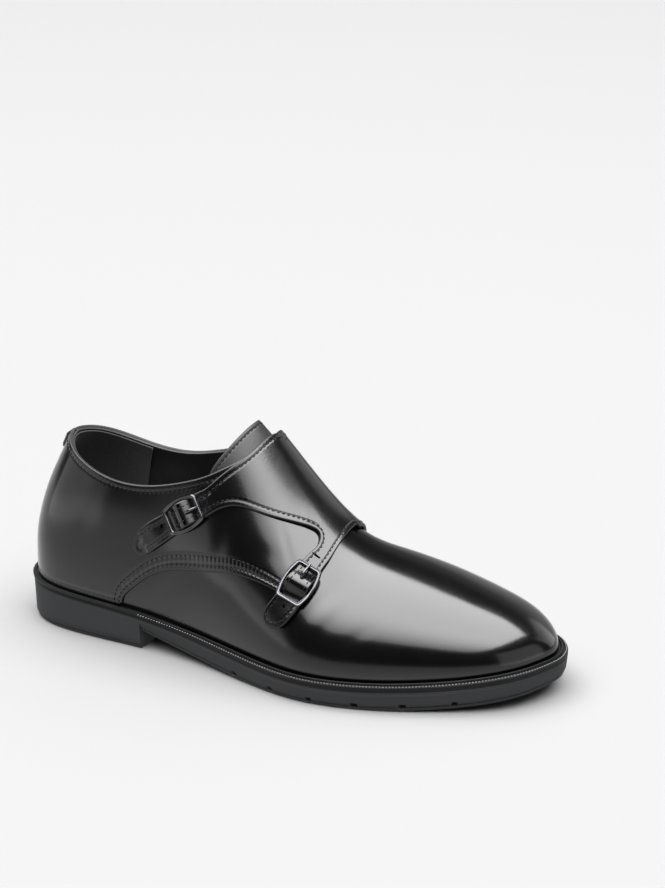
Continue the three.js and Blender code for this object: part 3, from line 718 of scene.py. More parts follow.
def sole_piece():
    """Moulded rubber sole and heel in one, with its tread line, notches and fine ribs."""
    breast = float(turn(HEEL_LENGTH / SOLE_LENGTH))
    turns = np.sort(np.concatenate([np.linspace(0, 1, 420), [breast - 1e-4, breast + 1e-5]]))
    rings = []
    for side in (-1, 1):
        tread, top = tread_at(turns), edge_at(turns)
        toe = 0.35 + 0.65 * smooth(share(turns), 0.8, 0.95)
        rows = []
        for inward, rise in SOLE_FOOT:
            rows.append((np.full(len(turns), inward), tread + rise))
        first, final = SOLE_FOOT[-1], SOLE_TOP[0]
        for part in (0.2, 0.4, 0.6, 0.8):
            height = tread + first[1] + (top - final[1] - tread - first[1]) * part
            rows.append((np.full(len(turns), first[0] + (final[0] - first[0]) * part), height))
        for inward, depth in SOLE_TOP:
            plain = SOLE_SIDE + SIDE_SLOPE * (depth - WELT_DEPTH)
            rows.append((plain + (inward - plain) * toe, top - depth))
        inner = margin(turns) + WELT_INNER
        rows.append((inner, top - WELT - 0.1))
        for i in range(NOTCHES):
            centre = turn(NOTCH_FIRST + i * NOTCH_SPACING)
            near = np.abs(share(turns) - share(centre)) * SOLE_LENGTH
            cut = NOTCH_DEPTH * (near < NOTCH_RADIUS)
            for k in range(2, 9):
                high = abs(SOLE_FOOT[k][1] - TREAD) < NOTCH_RADIUS
                rows[k] = (rows[k][0] + cut * high, rows[k][1])
        points = []
        for inward, height in rows:
            x, y = outline_point(turns, side, inward)
            points.append(np.stack([x, y, height], -1))
        rings.append(np.stack(points, 1))
    low = [rings[0][:, 0] * (1 - part) + rings[1][:, 0] * part for part in (0.25, 0.5, 0.75)]
    whole = np.concatenate([rings[0][:, ::-1], np.stack(low, 1), rings[1]], 1)
    return ring_grid("sole", whole)


# Section of the welt from its underside round to the lip. Columns: 0 where it is measured from the
# outline of the sole and 1 where from the lip, inward, height over the edge.
WELT_SECTION = (
    (0, 0.8, -2.75),
    (0, 0.76, -1.5),
    (0, 0.86, -1.3),
    (0, 0.86, -1.15),
    (0, 0.74, -1.0),
    (0, 0.74, -0.45),
    (0, 0.9, -0.12),
    (0, 1.25, 0.02),
    (1, -1.25, 0.02),
    (1, -1.12, -0.8),
    (1, -0.4, -0.9),
    (1, -0.2, -0.5),
    (1, -0.14, 0.75),
    (1, -0.02, 1.05),
    (1, 0.2, 1.2),
    (1, 0.5, 1.14),
    (1, 0.64, 0.9),
    (1, 0.7, -0.3),
)


def lip_at(turned):
    """How far the lip's line is in from the outline: nearer the upper at the forefoot."""
    return margin(turned) - 2.75 + 0.65 * smooth(share(turned), 0.25, 0.4)


def welt_piece():
    """Strip round the sole with a groove for its stitches and a raised lip, which is low at the heel."""
    half = 420
    turns = np.concatenate([np.linspace(0, 1, half + 1), np.linspace(1, 0, half + 1)[1:-1]])
    sides = np.concatenate([np.full(half + 1, -1), np.full(half - 1, 1)])
    low = 0.25 + 0.75 * smooth(share(turns), 0.3, 0.46)
    points = []
    inner = [(2, WELT_INNER, -0.2), (2, WELT_INNER, -2.75)]
    for part, inward, rise in list(WELT_SECTION) + inner:
        base = np.zeros(len(turns)) if part == 0 else lip_at(turns) if part == 1 else margin(turns)
        spots = [outline_point(turns, side, base + inward) for side in (-1, 1)]
        x, y = (np.where(sides < 0, spots[0][i], spots[1][i]) for i in (0, 1))
        points.append(np.stack([x, y, edge_at(turns) + rise * np.where(rise > 0.1, low, 1)], -1))
    return ring_grid("welt_strip", np.stack(points, 1), closed_along=True)


def side_view(x, z):
    """Row of a side view table from millimetres."""
    return x / SOLE_LENGTH, z / INSTEP_HEIGHT


def place_in_pattern(x, z, side):
    """Place in the pattern of a place seen from the side, in millimetres."""
    return to_pattern(on_side([side_view(x, z)], side))[0]


def topline_run(side, down=0.0):
    """Topline of one side from the back seam to the throat, in the pattern."""
    x = np.linspace(-122, TOPLINE[-1][0] * SOLE_LENGTH, 16)
    z = topline[side](x / SOLE_LENGTH) * INSTEP_HEIGHT - down
    run = to_pattern(find_on_last(x, z, side))
    back_z = (topline[side](-126 / SOLE_LENGTH)) * INSTEP_HEIGHT - down
    lifts = np.linspace(0.3, 1, 400)
    z_at = last_point(np.full(400, BACK_TURN), lifts * side)[:, 2]
    lift = side * np.interp(-back_z, -z_at, lifts)
    first = to_pattern([(BACK_TURN, lift)])
    run = run[run[:, 0] > first[0, 0] + 4]
    return smooth_line(np.concatenate([first, run]))


def bottom_run(side, start, end):
    """Lower edge of the leather of one side, between two turns."""
    turns = np.linspace(start, end, 30)
    return even_line(to_pattern(np.stack([turns, np.full(30, side * 0.999)], -1)))


def seam_run(side):
    """Seam of the quarter over the vamp, from the welt to its front."""
    line = to_pattern(on_side(SEAM[1:], side))
    foot = to_pattern([(turn(SEAM[0][0] + 0.5 + 0.004), side * 0.999)])
    return smooth_line(np.concatenate([foot, line]))


# Soft troughs and swellings of the leather. Columns: side, x, z, turn in degrees,
# half length, half width and height in millimetres.
CREASES = (
    (-1, 14, 69, -35, 9, 2.6, -0.28),
    (-1, 20, 72, -50, 7, 2.2, 0.2),
    (-1, 6, 66, 20, 10, 3.5, -0.16),
    (-1, -20, 74, 75, 12, 5, -0.2),
    (-1, -52, 48, 30, 14, 4, 0.15),
    (-1, -104, 62, 80, 16, 7, -0.22),
    (-1, -26, 47, 0, 24, 17, 0.9),
    (-1, 38, 50, 62, 12, 3, -0.22),
    (-1, 44, 46, 60, 13, 3.2, 0.18),
    (-1, 60, 36, 50, 11, 4, -0.16),
    (1, 40, 48, -60, 13, 3.4, -0.24),
    (1, 47, 43, -60, 12, 3.4, 0.18),
    (1, 62, 36, -50, 12, 4, -0.16),
    (1, -60, 58, 10, 18, 5, -0.25),
    (1, -100, 60, 80, 16, 7, -0.22),
    (1, 8, 66, -40, 14, 4, 0.2),
)


def crease_at(turned, lift):
    """Height of the soft troughs and swellings at places of the last."""
    flat = to_pattern(np.stack([np.asarray(turned), np.asarray(lift)], -1).reshape(-1, 2))
    rise = np.zeros(len(flat))
    for middle, (*_, angle, half_length, half_width, height) in zip(CREASE_MIDDLES, CREASES):
        away = flat - middle
        c, s = math.cos(math.radians(angle)), math.sin(math.radians(angle))
        along, across = away @ (c, s), away @ (-s, c)
        rise += height * np.exp(-((along / half_length) ** 2) - (across / half_width) ** 2)
    return rise.reshape(np.shape(turned))


def quarter_height(turned, lift):
    """Face of the outer quarter, level with the inner one at the back seam."""
    return QUARTER_STEP + 0.35 * (1 - smooth(turned, 0.0, 0.05)) + crease_at(turned, lift)


def flap_height(turned, lift):
    """Face of the inner quarter and flap, over the outer quarter and the centre bars."""
    over = 1 - smooth(lift, 0.05, 0.35)
    base = FLAP_GAP + QUARTER_STEP * over
    back = 0.37 * (1 - smooth(turned, 0.0, 0.05))
    points = skin(turned, lift, np.full(np.shape(turned), QUARTER_STEP))
    return base + FLAP - back + hump_at(points) + tip_rise(points) + crease_at(turned, lift)


def buckle_frames():
    """Place of each buckle on the outer quarter, and the ways along, across and out of it."""
    frames = []
    for name, x, z, way_x, way_z in BUCKLES:
        x, z = x * SOLE_LENGTH, z * INSTEP_HEIGHT
        here, there = find_on_last([x, x + way_x * 6], [z, z + way_z * 6], -1)
        base = skin(here[0], here[1], np.array(QUARTER_STEP))
        out = last_normal(here[0], here[1])
        way = skin(there[0], there[1], np.array(QUARTER_STEP)) - base
        way = unit(way - out * way.dot(out))
        frames.append({"name": name, "base": base, "out": out, "way": way, "across": np.cross(out, way)})
    return frames


def hump_at(points):
    """Rise of a strap where it passes over a centre bar."""
    rise = np.zeros(points.shape[:-1])
    for place in FRAMES:
        away = points - place["base"]
        along = np.abs(away @ place["way"])
        near = np.linalg.norm(away, axis=-1) < BUCKLE_LENGTH
        wave = HUMP * np.cos(np.pi * np.minimum(along, HUMP_LENGTH / 2) / HUMP_LENGTH) ** 2
        rise = rise + np.where(near, wave, 0)
    return rise


def tip_rise(points):
    """Rise of the loose end of a strap past its buckle."""
    rise = np.zeros(points.shape[:-1])
    for place in FRAMES:
        away = points - place["base"]
        along, beside_it = away @ place["way"], np.abs(away @ place["across"])
        free = smooth(along, BUCKLE_LENGTH / 2, BUCKLE_LENGTH / 2 + 12)
        near = (beside_it < 10) & (along < 30) & (np.linalg.norm(away, axis=-1) < 34)
        rise = rise + TIP_RISE * free * near
    return rise


FRAMES = buckle_frames()
STRAP_SPOTS = [place_in_pattern(row[1] * SOLE_LENGTH, row[2] * INSTEP_HEIGHT, -1) for row in BUCKLES]
CREASE_MIDDLES = [place_in_pattern(row[1], row[2], row[0]) for row in CREASES]


def outer_quarter():
    """Outer quarter, from the back seam to its front under the flap."""
    top = topline_run(-1)
    bottom = bottom_run(-1, BACK_TURN, float(turn(SEAM[0][0] + 0.5)))
    seam = seam_run(-1)
    front = to_pattern(on_side([side_view(28, 53), side_view(30, 62), side_view(31, 78)], -1))
    throat = np.array([top[-1] + (6, 0), top[-1]])
    back = even_line(np.array([top[0], bottom[0]]))
    hidden = even_line(np.concatenate([seam[-1:], front, throat]), 2)
    loop = np.concatenate([back, bottom[1:], seam[1:], hidden[1:], top[::-1][1:-1]])
    thickness = QUARTER_STEP + 0.6
    return cut_leather("outer_quarter", loop, quarter_height, thickness, edge=0.55, seam=seam)


def ridge_place(x):
    """Turn and lift of the ridge of the last at x."""
    return find_on_last([x], [OVER_ALL], -1)[0][0], 0.0


def flap_lines():
    """Edges of the inner quarter with flap and straps, from the ridge over the straps round to it."""
    outer = to_pattern(on_side(FLAP_OUTER[1:-1], -1))
    front, top = to_pattern([ridge_place(36.3)]), to_pattern([ridge_place(-8.8)])
    straps = smooth_line(np.concatenate([front, outer, top]), 0.9)
    inner_top = topline_run(1, 0.6)
    inner_top = inner_top[inner_top[:, 1] > 0.5]
    bottom = bottom_run(1, BACK_TURN, float(turn(SEAM[0][0] + 0.5)))
    seam = seam_run(1)
    edge = to_pattern(on_side(FLAP_INNER[1:], 1))[::-1]
    edge = smooth_line(np.concatenate([seam[-1:], edge, front]))
    return {"straps": straps, "topline": inner_top, "bottom": bottom, "seam": seam, "edge": edge}


def monk_quarter():
    """Inner quarter, flap and both straps, cut in one piece."""
    lines = flap_lines()
    back = even_line(np.array([lines["topline"][0], lines["bottom"][0]]))
    throat = even_line(np.array([lines["straps"][-1], lines["topline"][-1]]))
    runs = [lines["straps"], throat, lines["topline"][::-1], back]
    runs += [lines["bottom"], lines["seam"], lines["edge"]]
    loop = np.concatenate([run[:-1] for run in runs])
    sizes = {"thickness": FLAP + 0.3, "edge": 0.55, "step": 2, "under": True}
    places = {"seam": lines["seam"], "fine": STRAP_SPOTS}
    return cut_leather("monk_quarter_leather", loop, flap_height, **sizes, **places)


def last_skin(turned, lift):
    """Place on the last, never under the feather edge."""
    return skin(turned, lift, np.zeros(np.shape(turned)))


def vamp():
    """Front of the upper, from under the quarters to the feather edge."""
    turns = np.concatenate([np.linspace(float(turn(0.2)), 0.93, 170), np.linspace(0.93, 0.9985, 40)[1:]])
    parts = np.linspace(-1, 1, 181)
    hidden = {}
    for side in (-1, 1):
        rows = on_side([(x, z + VAMP_UNDER / INSTEP_HEIGHT) for x, z in SEAM[1:-2]], side)
        lift = np.interp(turns, rows[:, 0], np.abs(rows[:, 1]), left=0.99)
        hidden[side] = lift * (1 - smooth(share(turns), VAMP_BACK - 0.05, VAMP_BACK))
    limit = np.where(parts < 0, hidden[-1][:, None], hidden[1][:, None])
    grid_lift = np.sign(parts) * (1 - (1 - np.abs(parts)) * (1 - limit))
    grid_turn = np.repeat(turns[:, None], len(parts), 1)
    rise = crease_at(grid_turn, grid_lift)
    points = skin(grid_turn, grid_lift, rise)
    flat = to_pattern(np.stack([grid_turn, grid_lift], -1).reshape(-1, 2))
    normals = last_normal(grid_turn, grid_lift)
    for shift in ((0.5, 0.0), (0.0, 0.5)):
        ahead, behind = (from_pattern(flat + np.array(shift) * way) for way in (1, -1))
        ahead, behind = (np.clip(spot, -0.999, 0.999) for spot in (ahead, behind))
        slope = (crease_at(*ahead) - crease_at(*behind)).reshape(rise.shape)
        step = unit(last_skin(*ahead) - last_skin(*behind))
        normals = normals - slope[..., None] * step.reshape(normals.shape)
    normals = unit(normals)
    count = len(parts)
    vertices = np.concatenate([points.reshape(-1, 3), last_point(1.0, 0.0)[None]])
    corner = np.concatenate([normals.reshape(-1, 3), [[1.0, 0, 0]]])
    faces = []
    for i in range(len(turns) - 1):
        for k in range(count - 1):
            open_middle = k in (count // 2 - 1, count // 2) and limit[i, k] > 0.001
            if not open_middle:
                a = i * count + k
                faces.append((a, a + count, a + count + 1, a + 1))
    end = (len(turns) - 1) * count
    faces += [(end + k, len(vertices) - 1, end + k + 1) for k in range(count - 1)]
    order = np.concatenate([np.array(face) for face in faces])
    return new_piece("vamp", vertices, faces, corner[order])


def collar_loop(down, front):
    """Pattern of a lining under the topline, from the back seam to a turn at the front."""
    outer, inner = topline_run(-1, down), topline_run(1, down)
    bottoms = {side: bottom_run(side, BACK_TURN, front) for side in (-1, 1)}
    across = even_line(np.array([bottoms[-1][-1], bottoms[1][-1]]))
    outer_back = even_line(np.array([outer[0], bottoms[-1][0]]))
    inner_back = even_line(np.array([bottoms[1][0], inner[0]]))
    join = even_line(np.array([inner[-1], outer[-1]]))
    runs = [outer_back, bottoms[-1], across, bottoms[1][::-1], inner_back, inner, join, outer[::-1]]
    return np.concatenate([run[:-1] for run in runs])


def lining():
    """Smooth leather lining, glued inside the quarters and trimmed just under the topline."""

    def height(turned, lift):
        inner = smooth(0.68 - lift, 0, 0.12) * (lift > 0) * (1 - smooth(turned, 0.36, 0.42))
        return 0.5 * inner - 0.45

    loop = collar_loop(0.7, FRONT_TURN)
    return cut_leather("collar_lining", loop, height, WALL - 0.45, edge=0.4, step=2.6, under=True)


def heel_grip():
    """Pair of pads inside the back, from the back seam to a vertical seam on each side."""
    pads = []
    front_turn = float(turn(GRIP_FRONT / SOLE_LENGTH + 0.5))
    for side in (-1, 1):
        end = to_pattern([(front_turn, side * 0.999)])[0]
        top = topline_run(side, GRIP_DROP)
        top = top[top[:, 0] < end[0] - 1.5]
        bottom = bottom_run(side, BACK_TURN, front_turn)
        back, front = even_line(np.array([bottom[0], top[0]])), even_line(np.array([top[-1], bottom[-1]]))
        loop = np.concatenate([run[:-1] for run in (top, front, bottom[::-1], back)])
        pads.append(cut_leather("heel_grip", loop, level_at(0.1 - WALL), 0.7, 0.3, 3.0, under=True))
    return join_pieces("heel_grip", pads)


def level_at(out):
    """Face that lies at one height over the last."""
    return lambda turned, lift: np.full(np.shape(turned), out)


def tongue_lines():
    """Free edge of the tongue over its top, and its base under the flap."""
    places = ((-34.5, 96), (-33.5, 101.5), (-28.3, 110.5), (-22, 119))
    rows = on_side([side_view(x, z) for x, z in places], -1)
    left = np.concatenate([[(rows[0][0] + 0.002, -0.6)], rows, [ridge_place(-18.5)]])
    right = left[::-1][1:] * (1, -1)
    edge = smooth_line(to_pattern(np.concatenate([left, right])))
    front = to_pattern([(0.57, edge[-1][1] / GIRTH), (0.57, edge[0][1] / GIRTH)])
    return edge, even_line(np.concatenate([edge[-1:], front, edge[:1]]), 2)


def tongue_piece():
    """Tongue, under the wall of the upper."""
    edge, base = tongue_lines()
    loop = np.concatenate([edge[:-1], base[:-1]])
    return cut_leather("tongue_leather", loop, level_at(-WALL - GAP), TONGUE, under=True)


def heel_tab():
    """Tab sewn over the back seam, from the outer quarter onto the inner one."""
    rounds = np.array(column(TAB_OUTLINE, 0))
    low = np.array(column(TAB_OUTLINE, 1)) * INSTEP_HEIGHT
    high = np.array(column(TAB_OUTLINE, 2)) * INSTEP_HEIGHT

    def lift_of(place, z):
        lifts = np.linspace(0, 1, 800)
        at = last_point(np.full(800, max(abs(place), 0.002)), lifts)[:, 2]
        return float(np.interp(-z, -at, lifts))

    def spot(place, z, out):
        side = -1.0 if place < 0 else 1.0
        return skin(max(abs(place), 0.0005), side * lift_of(place, z), np.array(out))

    columns, rows = 40, 16
    places = np.linspace(rounds[0], rounds[-1], columns)
    lows, highs = spline(rounds, low)(places), spline(rounds, high)(places)
    rings = []
    for i, place in enumerate(places):
        end = min(i, columns - 1 - i)
        thin = 1 - 0.55 * max(0, 1 - end / 2)
        face = []
        for k in range(rows):
            part = k / (rows - 1)
            rim = min(part, 1 - part) * (rows - 1)
            out = 1.95 + 1.3 * thin * min(1, 0.55 + 0.25 * rim)
            face.append(spot(place, lows[i] + (highs[i] - lows[i]) * part, out))
        back = [spot(place, lows[i] + (highs[i] - lows[i]) * part, 1.5) for part in np.linspace(1, 0, 4)]
        rings.append(face + back)
    return ring_grid("heel_tab_leather", rings)


def bowed_ring(half_long, half_wide, bow, corner):
    """Closed outline of a buckle: straight end bars, swelling sides and round corners between them."""
    long, wide = half_long - corner, half_wide - corner
    lean = math.atan(2 * bow / long)
    quarter = []
    for part in np.linspace(0, 1, 4)[:-1]:
        quarter.append((half_long, wide * part))
    for angle in np.linspace(0, math.pi / 2 - lean, 7):
        quarter.append((long + corner * math.cos(angle), wide + corner * math.sin(angle)))
    for part in np.linspace(1, 0, 8)[1:]:
        tilt = math.atan(2 * bow * part / long)
        x, y = long * part, wide + bow * (1 - part**2)
        quarter.append((x + corner * math.sin(tilt), y + corner * math.cos(tilt)))
    upper = quarter + [(-x, y) for x, y in quarter[::-1][1:]]
    return np.array(upper + [(x, -y) for x, y in upper[::-1][1:-1]])


# Section of the buckle's frame. Columns: outward from its middle line, height in it.
FRAME_SECTION = (
    (-0.95, 0.15),
    (-0.8, 0.0),
    (0.8, 0.0),
    (0.95, 0.15),
    (0.97, 0.85),
    (0.88, 1.3),
    (0.66, 1.66),
    (0.46, 1.74),
    (0.2, 1.6),
    (-0.2, 1.55),
    (-0.46, 1.7),
    (-0.66, 1.62),
    (-0.88, 1.25),
    (-0.97, 0.8),
)


def buckle_ring():
    """Frame of a buckle, lying flat at its height."""
    rings = []
    for out, rise in FRAME_SECTION:
        half_long = BUCKLE_LENGTH / 2 - BUCKLE_BAR / 2 + out
        half_wide = BUCKLE_WIDTH / 2 - BUCKLE_BAR / 2 + out
        ring = bowed_ring(half_long, half_wide, BUCKLE_BOW, 1.5 + 0.6 * out)
        rings.append([(x, y, BUCKLE_HEIGHT + rise) for x, y in ring])
    return ring_grid("frame", np.swapaxes(np.array(rings), 0, 1), closed_along=True)


def rod(name, path, radii, flat=1.0, around=14):
    """Round bar along a path, with closed rounded ends."""
    path = np.asarray(path, float)
    along = unit(np.gradient(path, axis=0))
    side = np.array([0.0, 1.0, 0.0])
    rings = []
    for point, way, radius in zip(path, along, radii):
        if abs(way @ side) > 0.9:
            one, two = np.array([1.0, 0, 0]), np.array([0, 0, 1.0])
        else:
            one = side
            two = unit(np.cross(way, one))
        angles = np.linspace(0, 2 * math.pi, around, endpoint=False)
        rings.append([point + radius * (math.cos(a) * one + math.sin(a) * flat * two) for a in angles])
    return ring_grid(name, rings)


def buckle_set(place):
    """Buckle with its centre bar, and the pin through the strap."""
    ring = buckle_ring()
    reach = BUCKLE_WIDTH / 2 + BUCKLE_BOW - BUCKLE_BAR / 2
    middle = [(0, y, CENTRE_BAR_HEIGHT) for y in np.linspace(-reach, reach, 9)]
    bar = rod("bar", middle, [CENTRE_BAR / 2] * len(middle))
    top = BUCKLE_HEIGHT + BUCKLE_THICKNESS
    end = -BUCKLE_LENGTH / 2
    over_strap = [(-1.8, 0, 3.6), (-2.9, 0, 5.1), (-4.6, 0, 6.0), (-7.5, 0, 5.5)]
    path = smooth_path(over_strap + [(end + 1, 0, top + 0.6), (end - 0.5, 0, top + 0.45)])
    radii = np.interp(np.linspace(0, 1, len(path)), [0, 0.2, 0.75, 0.95, 1], [0.7, 0.7, 0.65, 0.55, 0.3])
    pin = rod("pin", path, radii, flat=0.85)
    matrix = np.stack([place["way"], place["across"], place["out"]], 1)
    for part in (ring, bar, pin):
        corners = np.empty(len(part.data.vertices) * 3)
        part.data.vertices.foreach_get("co", corners)
        moved = corners.reshape(-1, 3) @ matrix.T + place["base"] * MM
        part.data.vertices.foreach_set("co", moved.ravel())
        part.data.update()
    joined = join_pieces("buckle_" + place["name"] + "_metal", [ring, bar])
    pin.name = pin.data.name = "prong_" + place["name"] + "_metal"
    return joined, pin


# Holes and slits in the straps. Columns: buckle or none, along and across it or x and z, half
# length, half width and turn in degrees.
HOLES = (
    ("lower", -1.2, 0.0, 0.75, 0.75, 0),
    ("lower", 15.5, 0.0, 0.7, 0.7, 0),
    ("upper", 15.0, 0.0, 0.7, 0.7, 0),
    ("upper", -1.0, 4.6, 0.55, 0.55, 0),
    ("upper", -1.0, -4.6, 0.55, 0.55, 0),
    (None, 27.0, 64.6, 2.6, 0.5, 8),
)


def strap_holes():
    """Punched holes of the straps, and the slit over the lower buckle, as discs of painted shade on the
    leather.
    """
    discs = []
    for owner, one, two, half_length, half_width, angle in HOLES:
        if owner:
            place = next(frame for frame in FRAMES if frame["name"] == owner)
            guess = place["base"] + place["way"] * one + place["across"] * two
            spot = find_on_last([guess[0]], [guess[2]], -1)[0]
        else:
            spot = find_on_last([one], [two], -1)[0]
        middle = to_pattern([spot])[0]
        ring = []
        for k in range(16):
            turned_by = 2 * math.pi * k / 16
            u, v = half_length * math.cos(turned_by), half_width * math.sin(turned_by)
            c, s = math.cos(math.radians(angle)), math.sin(math.radians(angle))
            ring.append(middle + np.array([u * c - v * s, u * s + v * c]))
        rows = []
        for size, proud in ((1.0, -0.15), (1.0, 0.045), (0.6, 0.05), (0.05, 0.05)):
            at = middle + (np.array(ring) - middle) * size
            turned, lift = from_pattern(at)
            rows.append(skin(turned, lift, flap_height(turned, lift) + proud))
        discs.append(ring_grid("hole", rows))
    return join_pieces("strap_holes", discs)


def side_bar():
    """Short rolled bar sewn beside the flap on the inner side."""
    ends = to_pattern(on_side([side_view(*BAR_FRONT), side_view(*BAR_BACK)], 1))
    line = even_line(ends, 0.6)
    turned, lift = from_pattern(line)
    path = skin(turned, lift, flap_height(turned, lift) + 0.1)
    parts = np.linspace(-1, 1, len(path))
    radii = BAR_RADIUS * np.sqrt(np.maximum(1 - np.abs(parts) ** 8, 0.02))
    return rod("side_bar", path, radii, flat=0.8)


def smooth_path(points, count=26):
    """Smooth curve through points, in a number of steps."""
    points = np.asarray(points, float)
    chord = np.concatenate([[0], np.cumsum(np.linalg.norm(np.diff(points, axis=0), axis=1))])
    fine = np.linspace(0, chord[-1], count)
    return np.stack([spline(chord, points[:, i])(fine) for i in range(3)], -1)


def join_pieces(name, parts):
    """Makes one piece of several."""
    with bpy.context.temp_override(active_object=parts[0], selected_editable_objects=parts):
        bpy.ops.object.join()
    parts[0].name = parts[0].data.name = name
    return parts[0]


def stitch_tree():
    """Geometry Nodes that set a row of stitches along a path."""
    tree = bpy.data.node_groups.new("stitch_row", "GeometryNodeTree")
    face = tree.interface
    face.new_socket("Geometry", in_out="INPUT", socket_type="NodeSocketGeometry")
    for name, value in (("Pitch", 0.0028), ("Length", 0.0021), ("Thickness", 0.0006)):
        face.new_socket(name, in_out="INPUT", socket_type="NodeSocketFloat").default_value = value
    face.new_socket("Thread", in_out="INPUT", socket_type="NodeSocketMaterial")
    face.new_socket("Geometry", in_out="OUTPUT", socket_type="NodeSocketGeometry")
    make, link = tree.nodes.new, tree.links.new
    given, result = make("NodeGroupInput"), make("NodeGroupOutput")
    path, spaced = make("GeometryNodeMeshToCurve"), make("GeometryNodeResampleCurve")
    spaced.mode = "LENGTH"
    along, out = make("GeometryNodeInputTangent"), make("GeometryNodeInputNamedAttribute")
    out.data_type = "FLOAT_VECTOR"
    out.inputs["Name"].default_value = "out"
    turned = make("FunctionNodeAxesToRotation")
    turned.primary_axis, turned.secondary_axis = "X", "Z"
    size, thread = make("ShaderNodeCombineXYZ"), make("GeometryNodeMeshUVSphere")
    thread.inputs["Segments"].default_value = 8
    thread.inputs["Rings"].default_value = 6
    thread.inputs["Radius"].default_value = 0.5
    placed, real, finish = (
        make("GeometryNodeInstanceOnPoints"),
        make("GeometryNodeRealizeInstances"),
        make("GeometryNodeSetMaterial"),
    )
    link(given.outputs["Geometry"], path.inputs["Mesh"])
    link(path.outputs["Curve"], spaced.inputs["Curve"])
    link(given.outputs["Pitch"], spaced.inputs["Length"])
    link(spaced.outputs["Curve"], placed.inputs["Points"])
    link(thread.outputs["Mesh"], placed.inputs["Instance"])
    link(along.outputs[0], turned.inputs[0])
    link(out.outputs["Attribute"], turned.inputs[1])
    link(turned.outputs[0], placed.inputs["Rotation"])
    link(given.outputs["Length"], size.inputs["X"])
    link(given.outputs["Thickness"], size.inputs["Y"])
    link(given.outputs["Thickness"], size.inputs["Z"])
    link(size.outputs[0], placed.inputs["Scale"])
    link(placed.outputs["Instances"], real.inputs["Geometry"])
    link(real.outputs["Geometry"], finish.inputs["Geometry"])
    link(given.outputs["Thread"], finish.inputs["Material"])
    link(finish.outputs["Geometry"], result.inputs["Geometry"])
    return tree


def stitch_rows(name, rows, sizes, thread):
    """Stitches of a pitch, length and thickness along rows of (points, outward normals), as one mesh."""
    points = np.concatenate([row[0] for row in rows]) * MM
    outs = np.concatenate([row[1] for row in rows])
    edges, first = [], 0
    for row in rows:
        edges += [(first + i, first + i + 1) for i in range(len(row[0]) - 1)]
        first += len(row[0])
    mesh = bpy.data.meshes.new(name + "_path")
    mesh.from_pydata(points.tolist(), edges, [])
    mesh.attributes.new("out", "FLOAT_VECTOR", "POINT").data.foreach_set("vector", outs.ravel())
    path = bpy.data.objects.new(name + "_path", mesh)
    bpy.context.collection.objects.link(path)
    nodes = path.modifiers.new("stitches", "NODES")
    nodes.node_group = STITCHES
    items = [item for item in STITCHES.interface.items_tree if item.in_out == "INPUT"]
    sockets = {item.name: item.identifier for item in items}
    for socket, value in zip(("Pitch", "Length", "Thickness"), sizes):
        nodes[sockets[socket]] = value * MM
    nodes[sockets["Thread"]] = thread
    evaluated = path.evaluated_get(bpy.context.evaluated_depsgraph_get())
    made = bpy.data.meshes.new_from_object(evaluated)
    made.name = name
    piece = bpy.data.objects.new(name, made)
    bpy.context.collection.objects.link(piece)
    bpy.data.objects.remove(path)
    made.polygons.foreach_set("use_smooth", [True] * len(made.polygons))
    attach(piece, "root")
    return piece


def on_leather(line, out_at):
    """Row of a stitch line that lies on leather: its points and outward normals."""
    turned, lift = from_pattern(line)
    turned = np.clip(turned, 0.0008, 0.999)
    lift = np.clip(lift, -0.999, 0.999)
    return skin(turned, lift, out_at(turned, lift) + STITCH_PROUD), last_normal(turned, lift)


def trimmed(line, start, end):
    """Part of a line between two distances from its start, or from its end where negative."""
    far = np.concatenate([[0], np.cumsum(np.linalg.norm(np.diff(line, axis=0), axis=1))])
    start = start if start >= 0 else far[-1] + start
    end = end if end > 0 else far[-1] + end
    return even_line(line[(far >= start) & (far <= end)], 1.0)


def upper_stitches(thread):
    """Rows of stitches beside the topline, the straps, the seams, the flap's edges and the tongue's."""
    lines = flap_lines()
    box = [side_view(x, z) for x, z in ((29, 57), (17, 58.2), (18, 64.6), (29.4, 63.4))]
    box = to_pattern(on_side(box + box[:1], 1))
    rows = [
        on_leather(trimmed(beside(topline_run(-1), -2.0), 6, -34), quarter_height),
        on_leather(trimmed(beside(lines["topline"], 2.0), 10, -3), flap_height),
        on_leather(trimmed(beside(lines["straps"], -2.0), 3, -3), flap_height),
        on_leather(even_line(box), flap_height),
    ]
    for away in (1.8, 4.2):
        rows.append(on_leather(trimmed(beside(seam_run(-1), away), 1, -4), quarter_height))
        rows.append(on_leather(trimmed(beside(seam_run(1), -away), 1, -4), flap_height))
    rows.append(on_leather(trimmed(beside(lines["edge"], -2.0), 6, -3), flap_height))
    tongue_edge = tongue_lines()[0]
    rows.append(on_leather(trimmed(beside(tongue_edge, -2.0), 4, -4), level_at(-WALL - GAP)))
    sizes = (STITCH, STITCH_LENGTH, STITCH_THICKNESS)
    return stitch_rows("upper_stitches", rows, sizes, thread)


def welt_stitches(thread):
    """Row of stitches along the welt, from the front of the heel round the toe."""
    rows = []
    for side in (-1, 1):
        turns = np.linspace(float(turn(0.27)), 0.999, 420)
        x, y = outline_point(turns, side, lip_at(turns) - WELT_STITCH_INSET)
        points = np.stack([x, y, edge_at(turns) + 0.22], -1)
        rows.append((points if side < 0 else points[::-1], np.tile([0, 0, 1.0], (len(turns), 1))))
    sizes = (WELT_STITCH, WELT_STITCH_LENGTH, STITCH_THICKNESS)
    return stitch_rows("welt_stitches", rows, sizes, thread)


def colour_of(level):
    """Linear grey, a touch cool."""
    return (level * 0.98, level, level * 1.04, 1)


